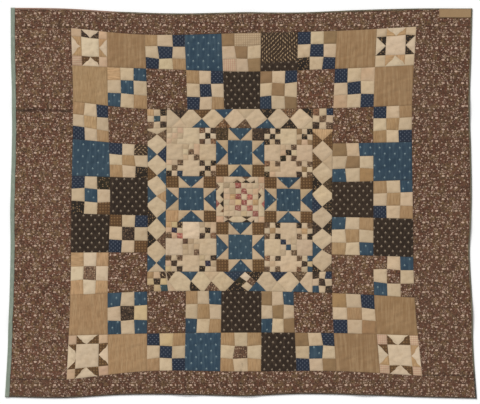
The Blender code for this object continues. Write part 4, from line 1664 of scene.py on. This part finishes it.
def surface_effect(weave, handling):
    """Printed cotton: dyed ground and print, threads with a painted highlight on their crowns, fading, soil
    and painted shade, and relief.
    """
    group, loom, start, end = start_effect(
        "old cotton",
        [("Ground", COLOUR, None), ("Print", COLOUR, None), ("Print mask", NUMBER, 0.0),
         ("Second print", COLOUR, None), ("Second mask", NUMBER, 0.0), ("Threads", NUMBER, 2000.0),
         ("Faded", COLOUR, None), ("Fading", NUMBER, 0.2), ("Soiling and shading", NUMBER, 0.3)],
        [("Colour", COLOUR), ("Roughness", NUMBER), ("Relief", NUMBER)],
    )
    cloth = loom.node("ShaderNodeUVMap", uv_map="cloth").outputs[0]
    body = loom.node("ShaderNodeTexCoord").outputs["Object"]
    seam = loom.node("ShaderNodeAttribute", attribute_name="seam").outputs["Fac"]
    tint = loom.node("ShaderNodeAttribute", attribute_name="dye").outputs["Color"]
    threads = loom.placed(weave, {"Place": cloth, "Threads": start["Threads"]})
    age = loom.placed(handling, {"Place": body, "Seam": seam})
    colour = loom.blend(1.0, start["Ground"], tint, "MULTIPLY")
    colour = loom.blend(start["Second mask"], colour, start["Second print"])
    colour = loom.blend(start["Print mask"], colour, start["Print"])
    colour = loom.blend(loom.times(age["Fade"], start["Fading"]), colour, start["Faded"])
    thread_tone_and_highlight = loom.node("ShaderNodeCombineColor", {i: threads["Tone and highlight"] for i in range(3)}).outputs[0]
    colour = loom.blend(1.0, colour, thread_tone_and_highlight, "MULTIPLY")
    # The darkening stands for stains and soil, and for painted shade along seams and creases
    soil_and_shade = loom.times(age["Soil and shade"], start["Soiling and shading"])
    colour = loom.blend(soil_and_shade, colour, linear(52, 38, 28))
    loom.feed(end["Colour"], colour)
    loom.feed(end["Roughness"], loom.span(threads["Height"], 0.0, 1.6, 0.96, 0.84, soft=False))
    relief = loom.plus(loom.times(threads["Height"], 0.10), age["Rumple"])
    loom.feed(end["Relief"], relief)
    return group


def scatter(loom, place, scale, size, share, softness=0.12):
    """Scattered round marks: a mask, some of the cells left empty."""
    feeds = {"Vector": place, "Scale": scale, "Randomness": 0.9}
    cells = loom.node("ShaderNodeTexVoronoi", feeds, voronoi_dimensions="2D")
    number = loom.node("ShaderNodeSeparateColor", {0: cells.outputs["Color"]})
    reach = loom.span(number.outputs[0], 0.0, 1.0, size * 0.75, size * 1.25, soft=False)
    mark = loom.span(loom.less(cells.outputs["Distance"], reach), softness / 2, -softness / 2)
    kept = loom.math("LESS_THAN", number.outputs[1], share)
    return loom.times(mark, kept)


def calico_effect(petal, lattice):
    """An all-over calico: blossoms in a brick repeat, each row turned the other way.

    In a cell the first measure runs up the cloth and the second across it.
    """
    group, loom, start, end = start_effect(
        "calico print",
        [("Place", PLACE, None)],
        [("Blossom", NUMBER), ("Leaf", NUMBER), ("Shadow", NUMBER)],
    )
    x, y = loom.directions(start["Place"])
    cell = loom.placed(lattice, {"Place": loom.point(y, x), "Width": 0.058, "Height": 0.097})
    side = loom.span(cell["Odd column"], 0.0, 1.0, 1.0, -1.0, soft=False)
    inside = loom.vectors("MULTIPLY", cell["Inside"], loom.point(1.0, side, 1.0))
    large = add_marks(loom, petal, inside, LARGE_BLOSSOMS)
    middling = add_marks(loom, petal, inside, MIDDLING_BLOSSOMS)
    rosette = add_marks(loom, petal, inside, ROSETTE)
    heart = add_marks(loom, petal, inside, BLOSSOM_HEARTS)
    large = loom.times(large, loom.less(1.0, loom.times(heart, 0.35)))
    large = loom.times(large, loom.span(loom.noise(start["Place"], 37.0, 1.0), 0.3, 0.55, 0.7, 1.0))
    blossom = loom.most(large, loom.times(middling, 0.85))
    blossom = loom.most(blossom, loom.times(rosette, 0.58))
    place = loom.wandering(start["Place"], 48.0, 0.014)
    dots = scatter(loom, loom.scaled(place, 0.8, 1.0), 92.0, 0.25, 0.38)
    small = scatter(loom, place, 210.0, 0.25, 0.30)
    pale = loom.most(loom.times(dots, 0.58), loom.times(small, 0.34))
    loom.feed(end["Blossom"], loom.most(blossom, pale))
    leaves = loom.span(loom.noise(loom.scaled(place, 1.0, 0.8), 30.0, 2.0), 0.46, 0.60)
    loom.feed(end["Leaf"], leaves)
    from_middle = loom.size(loom.less(loom.noise(place, 45.0), 0.5))
    veins = loom.span(from_middle, 0.045, 0.012)
    shade = scatter(loom, loom.scaled(place, 0.9, 1.15), 105.0, 0.36, 0.55, 0.2)
    loom.feed(end["Shadow"], loom.most(loom.times(veins, 0.8), shade))
    return group


MATERIALS = {}

# What most of the cloths share
UNPRINTED = (60, 45, 35)
FADED_CREAM = (170, 150, 125)
THREADS = 2000.0
RELIEF_HEIGHT = 0.0012
RELIEF_STRENGTH = 0.6
SHINE = {"Specular IOR Level": 0.2, "Sheen Weight": 0.12, "Sheen Roughness": 0.5}


def cotton(name, build, ground=None, print_dye=UNPRINTED, second_dye=UNPRINTED, faded=FADED_CREAM,
           fading=0.10, soiling_and_shading=0.30, threads=THREADS):
    """A printed or plain cotton.

    build lays its print and returns the masks of its two dyes, and its ground where that
    isn't one colour.
    """
    material = bpy.data.materials.new(name)
    material.use_nodes = True
    loom = Loom(material.node_tree)
    cloth = loom.node("ShaderNodeUVMap", uv_map="cloth").outputs[0]
    first, second, *patterned = build(loom, cloth)
    # How strongly stains, soil and painted shade along seams and creases darken the cloth
    surface = loom.placed(EFFECTS["surface"], {
        "Ground": patterned[0] if patterned else linear(*ground), "Print": linear(*print_dye),
        "Print mask": first, "Second print": linear(*second_dye), "Second mask": second, "Threads": threads,
        "Faded": linear(*faded), "Fading": fading, "Soiling and shading": soiling_and_shading,
    })
    feeds = {"Height": surface["Relief"], "Strength": RELIEF_STRENGTH, "Distance": RELIEF_HEIGHT}
    bump = loom.node("ShaderNodeBump", feeds)
    shader = material.node_tree.nodes["Principled BSDF"]
    loom.feed(shader.inputs["Base Color"], surface["Colour"])
    loom.feed(shader.inputs["Roughness"], surface["Roughness"])
    loom.feed(shader.inputs["Normal"], bump.outputs["Normal"])
    for setting, value in SHINE.items():
        shader.inputs[setting].default_value = value
    MATERIALS[name] = material


def plain(loom, cloth):
    """No print, only soft blotches of age."""
    blotches = loom.span(loom.noise(loom.scaled(cloth, 34.0, 26.0), 1.0, 3.0, 0.6), 0.45, 0.75)
    return 0.0, loom.times(blotches, 0.42)


def stripe(loom, cloth, pitch, axis=0, share=0.5):
    """Fine woven stripes."""
    wave = loom.wave(loom.times(loom.directions(cloth)[axis], 2 * math.pi / pitch))
    level = 1 - 2 * share
    return loom.span(wave, level - 0.35, level + 0.35)


def striped(loom, cloth):
    """Tan cloth with fine uneven lines along it."""
    fine = loom.span(loom.noise(loom.scaled(cloth, 260.0, 22.0), 1.0, 2.0, 0.6), 0.42, 0.62)
    broad = loom.span(loom.noise(loom.scaled(cloth, 90.0, 5.0), 1.0, 1.0), 0.40, 0.65)
    return loom.times(fine, 0.5), loom.times(broad, 0.36)


def sprigged(width, height, size, bloom, leaf, streaks):
    """A builder of sprigs in a half drop, on a ground that is streaked along its threads."""
    def build(loom, cloth):
        feeds = {"Place": cloth, "Width": width, "Height": height, "Size": size}
        sprigs = loom.placed(EFFECTS["sprigs"], feeds)
        mottled = loom.span(loom.noise(loom.scaled(cloth, *streaks), 1.0, 3.0, 0.6), 0.42, 0.72)
        leaves = loom.most(loom.times(sprigs["Leaf"], leaf), loom.times(mottled, 0.26))
        return loom.times(sprigs["Bloom"], bloom), leaves
    return build


def dotted(loom, cloth):
    """Navy cloth with a faint check and small dots."""
    check = loom.most(stripe(loom, cloth, 0.006, 0, 0.3), stripe(loom, cloth, 0.006, 1, 0.3))
    cell = loom.placed(EFFECTS["lattice"], {"Place": cloth, "Width": 0.010, "Height": 0.021})
    feeds = {"Place": cell["Inside"], "Centre": (0.0, 0.0, 0.0), "Length": 0.0074, "Width": 0.0056}
    dot = loom.placed(EFFECTS["petal"], feeds)
    return loom.times(dot["Mask"], 0.55), loom.times(check, 0.45)


def checked(loom, cloth):
    """Cream cloth with thin crossing lines."""
    lines = loom.most(stripe(loom, cloth, 0.011, 0, 0.25), stripe(loom, cloth, 0.011, 1, 0.25))
    return loom.times(lines, 0.5), 0.0


def pink_striped(loom, cloth):
    """Cream cloth with red-pink stripes and a thin line between them."""
    broad = loom.times(stripe(loom, cloth, 0.0105, 0, 0.36), 0.45)
    fine = loom.times(stripe(loom, cloth, 0.0105, 1, 0.3), 0.45)
    return broad, fine


def small_print(loom, cloth):
    """Pale dots and darker leaves, close set."""
    dots = scatter(loom, cloth, 98.0, 0.27, 0.55)
    leaves = scatter(loom, loom.scaled(cloth, 1.0, 0.6), 105.0, 0.36, 0.7, 0.2)
    return loom.times(dots, 0.75), loom.times(leaves, 0.75)


def leafy(loom, cloth):
    """Dark cloth with cream leaves that stand up in its middle and lie down beside it."""
    place = loom.wandering(cloth, 24.0, 0.012)
    cell = loom.placed(EFFECTS["lattice"], {"Place": place, "Width": 0.0115, "Height": 0.0215})
    swing = loom.span(loom.noise(cloth, 9.0, 1.0), 0.35, 0.65, 0.7, 2.45)
    feeds = {"Place": cell["Inside"], "Centre": (0.0, 0.0, 0.0), "Turn": swing,
             "Length": 0.0130, "Width": 0.0042}
    leaf = loom.placed(EFFECTS["petal"], feeds)
    uneven = loom.span(loom.noise(cloth, 55.0, 1.0), 0.3, 0.65, 0.2, 0.95)
    return loom.times(leaf["Mask"], uneven), 0.0


# How far apart the plaid's bars and the twill's ribs are, in metres
PLAID_PITCH = 0.0145
TWILL_PITCH = 0.0022


def plaid(loom, cloth):
    """Brown plaid: dark bars both ways and light squares between them."""
    waves = [loom.wave(loom.times(along, 2 * math.pi / PLAID_PITCH)) for along in loom.directions(cloth)]
    dark = loom.most(*(loom.span(wave, 0.0, -0.6) for wave in waves))
    light = loom.times(*(loom.span(wave, 0.25, 0.85) for wave in waves))
    uneven = loom.span(loom.noise(cloth, 60.0, 2.0), 0.3, 0.7, 0.15, 1.0)
    return loom.times(light, loom.times(uneven, 0.8)), loom.times(dark, 0.5)


def calico(loom, cloth):
    """The border's calico: its ground passes from red-brown to olive."""
    print_masks = loom.placed(EFFECTS["calico"], {"Place": cloth})
    ground = loom.blend(print_masks["Leaf"], linear(96, 61, 44), linear(108, 82, 55))
    return print_masks["Blossom"], print_masks["Shadow"], ground


def twilled(loom, cloth):
    """Slanting twill lines."""
    slant = loom.plus(*loom.directions(cloth))
    wave = loom.wave(loom.times(slant, 2 * math.pi / TWILL_PITCH))
    return 0.0, loom.span(wave, -0.5, 0.8, 0.0, 0.35)


# The bindings' hem: how far its stitches lie from the lap's edge in millimetres, and how
# far one is from the next in metres
HEM_INSET = 2.0
STITCH_PITCH = 0.0055


def worn_edge(lap_at, ground, later_ground=None, change=None):
    """A builder of binding cloth: its fold worn pale, its lap hemmed with small stitches.

    lap_at is how far round the fold the lap's edge lies, and the ground may pass into
    another colour between two places along the binding.
    """
    def build(loom, cloth):
        along, round_fold = loom.directions(cloth)
        worn = loom.span(loom.noise(loom.scaled(cloth, 40.0, 160.0), 1.0, 4.0, 0.65), 0.50, 0.66)
        beside_hem = loom.size(loom.less(round_fold, (lap_at - HEM_INSET) * MM))
        run = loom.math("FRACT", loom.times(along, 1 / STITCH_PITCH))
        stitches = loom.times(loom.span(beside_hem, 0.0006, 0.0003), loom.span(run, 0.55, 0.50))
        colour = linear(*ground)
        if later_ground:
            colour = loom.blend(loom.span(along, *change), colour, linear(*later_ground))
        return loom.times(worn, 0.6), loom.times(stitches, 0.8), colour
    return build


def dye_cloths():
    """Make each cloth of the quilt."""
    cotton("cream_muslin", plain, (185, 162, 131), second_dye=(156, 130, 98), faded=(198, 178, 150),
           fading=0.35, soiling_and_shading=0.22)
    cotton("checked_cream", checked, (180, 156, 124), print_dye=(128, 98, 72), soiling_and_shading=0.22)
    cotton("pink_stripe", pink_striped, (184, 158, 130), print_dye=(160, 106, 92),
           second_dye=(172, 132, 112))
    cotton("khaki_cotton", plain, (134, 106, 74), second_dye=(106, 82, 56), faded=(150, 124, 92),
           fading=0.2)
    cotton("striped_tan", striped, (157, 125, 88), print_dye=(127, 96, 63), second_dye=(172, 144, 108),
           faded=(170, 142, 108), fading=0.2)
    cotton("dotted_navy", dotted, (40, 45, 56), print_dye=(96, 102, 110), second_dye=(27, 32, 43),
           faded=(72, 76, 82))
    cotton("sprigged_blue", sprigged(0.0252, 0.0595, 0.68, 0.75, 0.55, (75.0, 7.0)), (40, 59, 73),
           print_dye=(132, 148, 148), second_dye=(88, 108, 116), faded=(72, 90, 98), fading=0.25)
    cotton("sprigged_brown", sprigged(0.0192, 0.0455, 0.62, 0.8, 0.6, (95.0, 40.0)), (41, 30, 21),
           print_dye=(146, 130, 110), second_dye=(88, 72, 56), faded=(72, 60, 46))
    cotton("black_print", small_print, (42, 33, 24), print_dye=(140, 112, 80), second_dye=(24, 20, 16),
           faded=(76, 62, 48))
    cotton("umber_print", small_print, (60, 46, 35), print_dye=(122, 98, 74), second_dye=(33, 26, 20),
           faded=(92, 76, 60))
    cotton("leafy_black", leafy, (58, 43, 30), print_dye=(180, 152, 116), faded=(78, 64, 50))
    cotton("brown_calico", calico, (96, 70, 54), print_dye=(186, 159, 139), second_dye=(62, 42, 29),
           faded=(128, 101, 78))
    cotton("brown_plaid", plaid, (102, 73, 43), print_dye=(150, 119, 81), second_dye=(60, 42, 26),
           faded=(124, 98, 66))
    cotton("brown_leaf", small_print, (104, 79, 58), print_dye=(168, 142, 114),
           second_dye=(56, 41, 30), faded=(130, 108, 86))
    cotton("red_check", small_print, (136, 76, 66), print_dye=(184, 146, 128),
           second_dye=(108, 56, 50), faded=(170, 128, 110), fading=0.3)
    wide_lap = binding_section(WIDE_BINDING)[1][BINDING_LAP_CORNER]
    narrow_lap = binding_section(NARROW_BINDING)[1][BINDING_LAP_CORNER]
    cotton("binding_left_cotton", worn_edge(wide_lap, (122, 132, 118)), print_dye=(156, 160, 144),
           second_dye=(70, 62, 50), threads=1700.0, faded=(146, 150, 136))
    cotton("binding_top_cotton", worn_edge(narrow_lap, (136, 104, 88), (82, 78, 60), (0.46, 0.56)),
           print_dye=(166, 138, 118), second_dye=(190, 170, 140), faded=(120, 104, 84))
    cotton("binding_right_cotton", worn_edge(narrow_lap, (88, 84, 66), (24, 26, 32), (1.78, 1.86)),
           print_dye=(112, 106, 88), second_dye=(180, 164, 136), faded=(90, 84, 70))
    cotton("binding_foot_cotton", worn_edge(narrow_lap, (52, 42, 33)), print_dye=(104, 88, 70),
           second_dye=(170, 150, 120), faded=(88, 76, 62))
    cotton("tan_twill", twilled, (152, 124, 90), second_dye=(116, 92, 64))
    cotton("backing_cotton", plain, (170, 152, 124))


EFFECTS = {}


def make_effects():
    """Build the shared effects once."""
    EFFECTS["petal"] = petal_effect()
    EFFECTS["lattice"] = lattice_effect()
    EFFECTS["sprigs"] = sprig_effect(EFFECTS["petal"], EFFECTS["lattice"])
    EFFECTS["weave"] = weave_effect()
    EFFECTS["handling"] = handling_effect()
    EFFECTS["calico"] = calico_effect(EFFECTS["petal"], EFFECTS["lattice"])
    EFFECTS["surface"] = surface_effect(EFFECTS["weave"], EFFECTS["handling"])


# The floor, the light and the camera, in metres and degrees
FLOOR_REACH = 7.0
FLOOR_DROP = 0.0004
WORLD_STRENGTH = 0.55
SUN_STRENGTH = 2.6
SUN_SPREAD = 14
SUN_TURN = (-38, -40, 0)
CAMERA_LENS = 67.5
CAMERA_PLACE = (-0.004, 0.006, 4.5)


def make_studio():
    """The pale floor, the soft light and the camera straight above."""
    mesh = bpy.data.meshes.new("floor")
    ways = ((-1, -1), (1, -1), (1, 1), (-1, 1))
    corners = [(FLOOR_REACH * x, FLOOR_REACH * y, -FLOOR_DROP) for x, y in ways]
    mesh.from_pydata(corners, [], [(0, 1, 2, 3)])
    floor = bpy.data.objects.new("floor", mesh)
    bpy.context.scene.collection.objects.link(floor)
    paper = bpy.data.materials.new("pale_floor")
    paper.use_nodes = True
    shader = paper.node_tree.nodes["Principled BSDF"]
    shader.inputs["Base Color"].default_value = (0.97, 0.97, 0.97, 1.0)
    shader.inputs["Roughness"].default_value = 0.95
    shader.inputs["Specular IOR Level"].default_value = 0.1
    mesh.materials.append(paper)

    scene = bpy.context.scene
    scene.view_settings.view_transform = "Standard"
    world = bpy.data.worlds.new("studio")
    world.use_nodes = True
    background = world.node_tree.nodes["Background"]
    background.inputs["Color"].default_value = (1.0, 1.0, 1.0, 1.0)
    background.inputs["Strength"].default_value = WORLD_STRENGTH
    scene.world = world

    key_data = bpy.data.lights.new("key", "SUN")
    key_data.energy = SUN_STRENGTH
    key_data.angle = math.radians(SUN_SPREAD)
    key = bpy.data.objects.new("key", key_data)
    key.rotation_euler = [math.radians(turn) for turn in SUN_TURN]
    scene.collection.objects.link(key)

    camera_data = bpy.data.cameras.new("camera")
    camera_data.lens = CAMERA_LENS
    camera_data.sensor_width = 36.0
    camera = bpy.data.objects.new("camera", camera_data)
    camera.location = CAMERA_PLACE
    scene.collection.objects.link(camera)
    scene.camera = camera


make_studio()
make_effects()
dye_cloths()
make_ring()
make_star_panel()
make_medallion_frame()
make_side_border("border_left", left_edge, 0, WIDE_BINDING, 1.0, False)
make_side_border("border_right", right_edge, BLOCKS, NARROW_BINDING, 0.83, True)
make_end_border("border_top", top_edge, 0, 0.88, False)
make_end_border("border_foot", foot_edge, BLOCKS, 0.82, True)
make_bindings()
make_corner_strip()
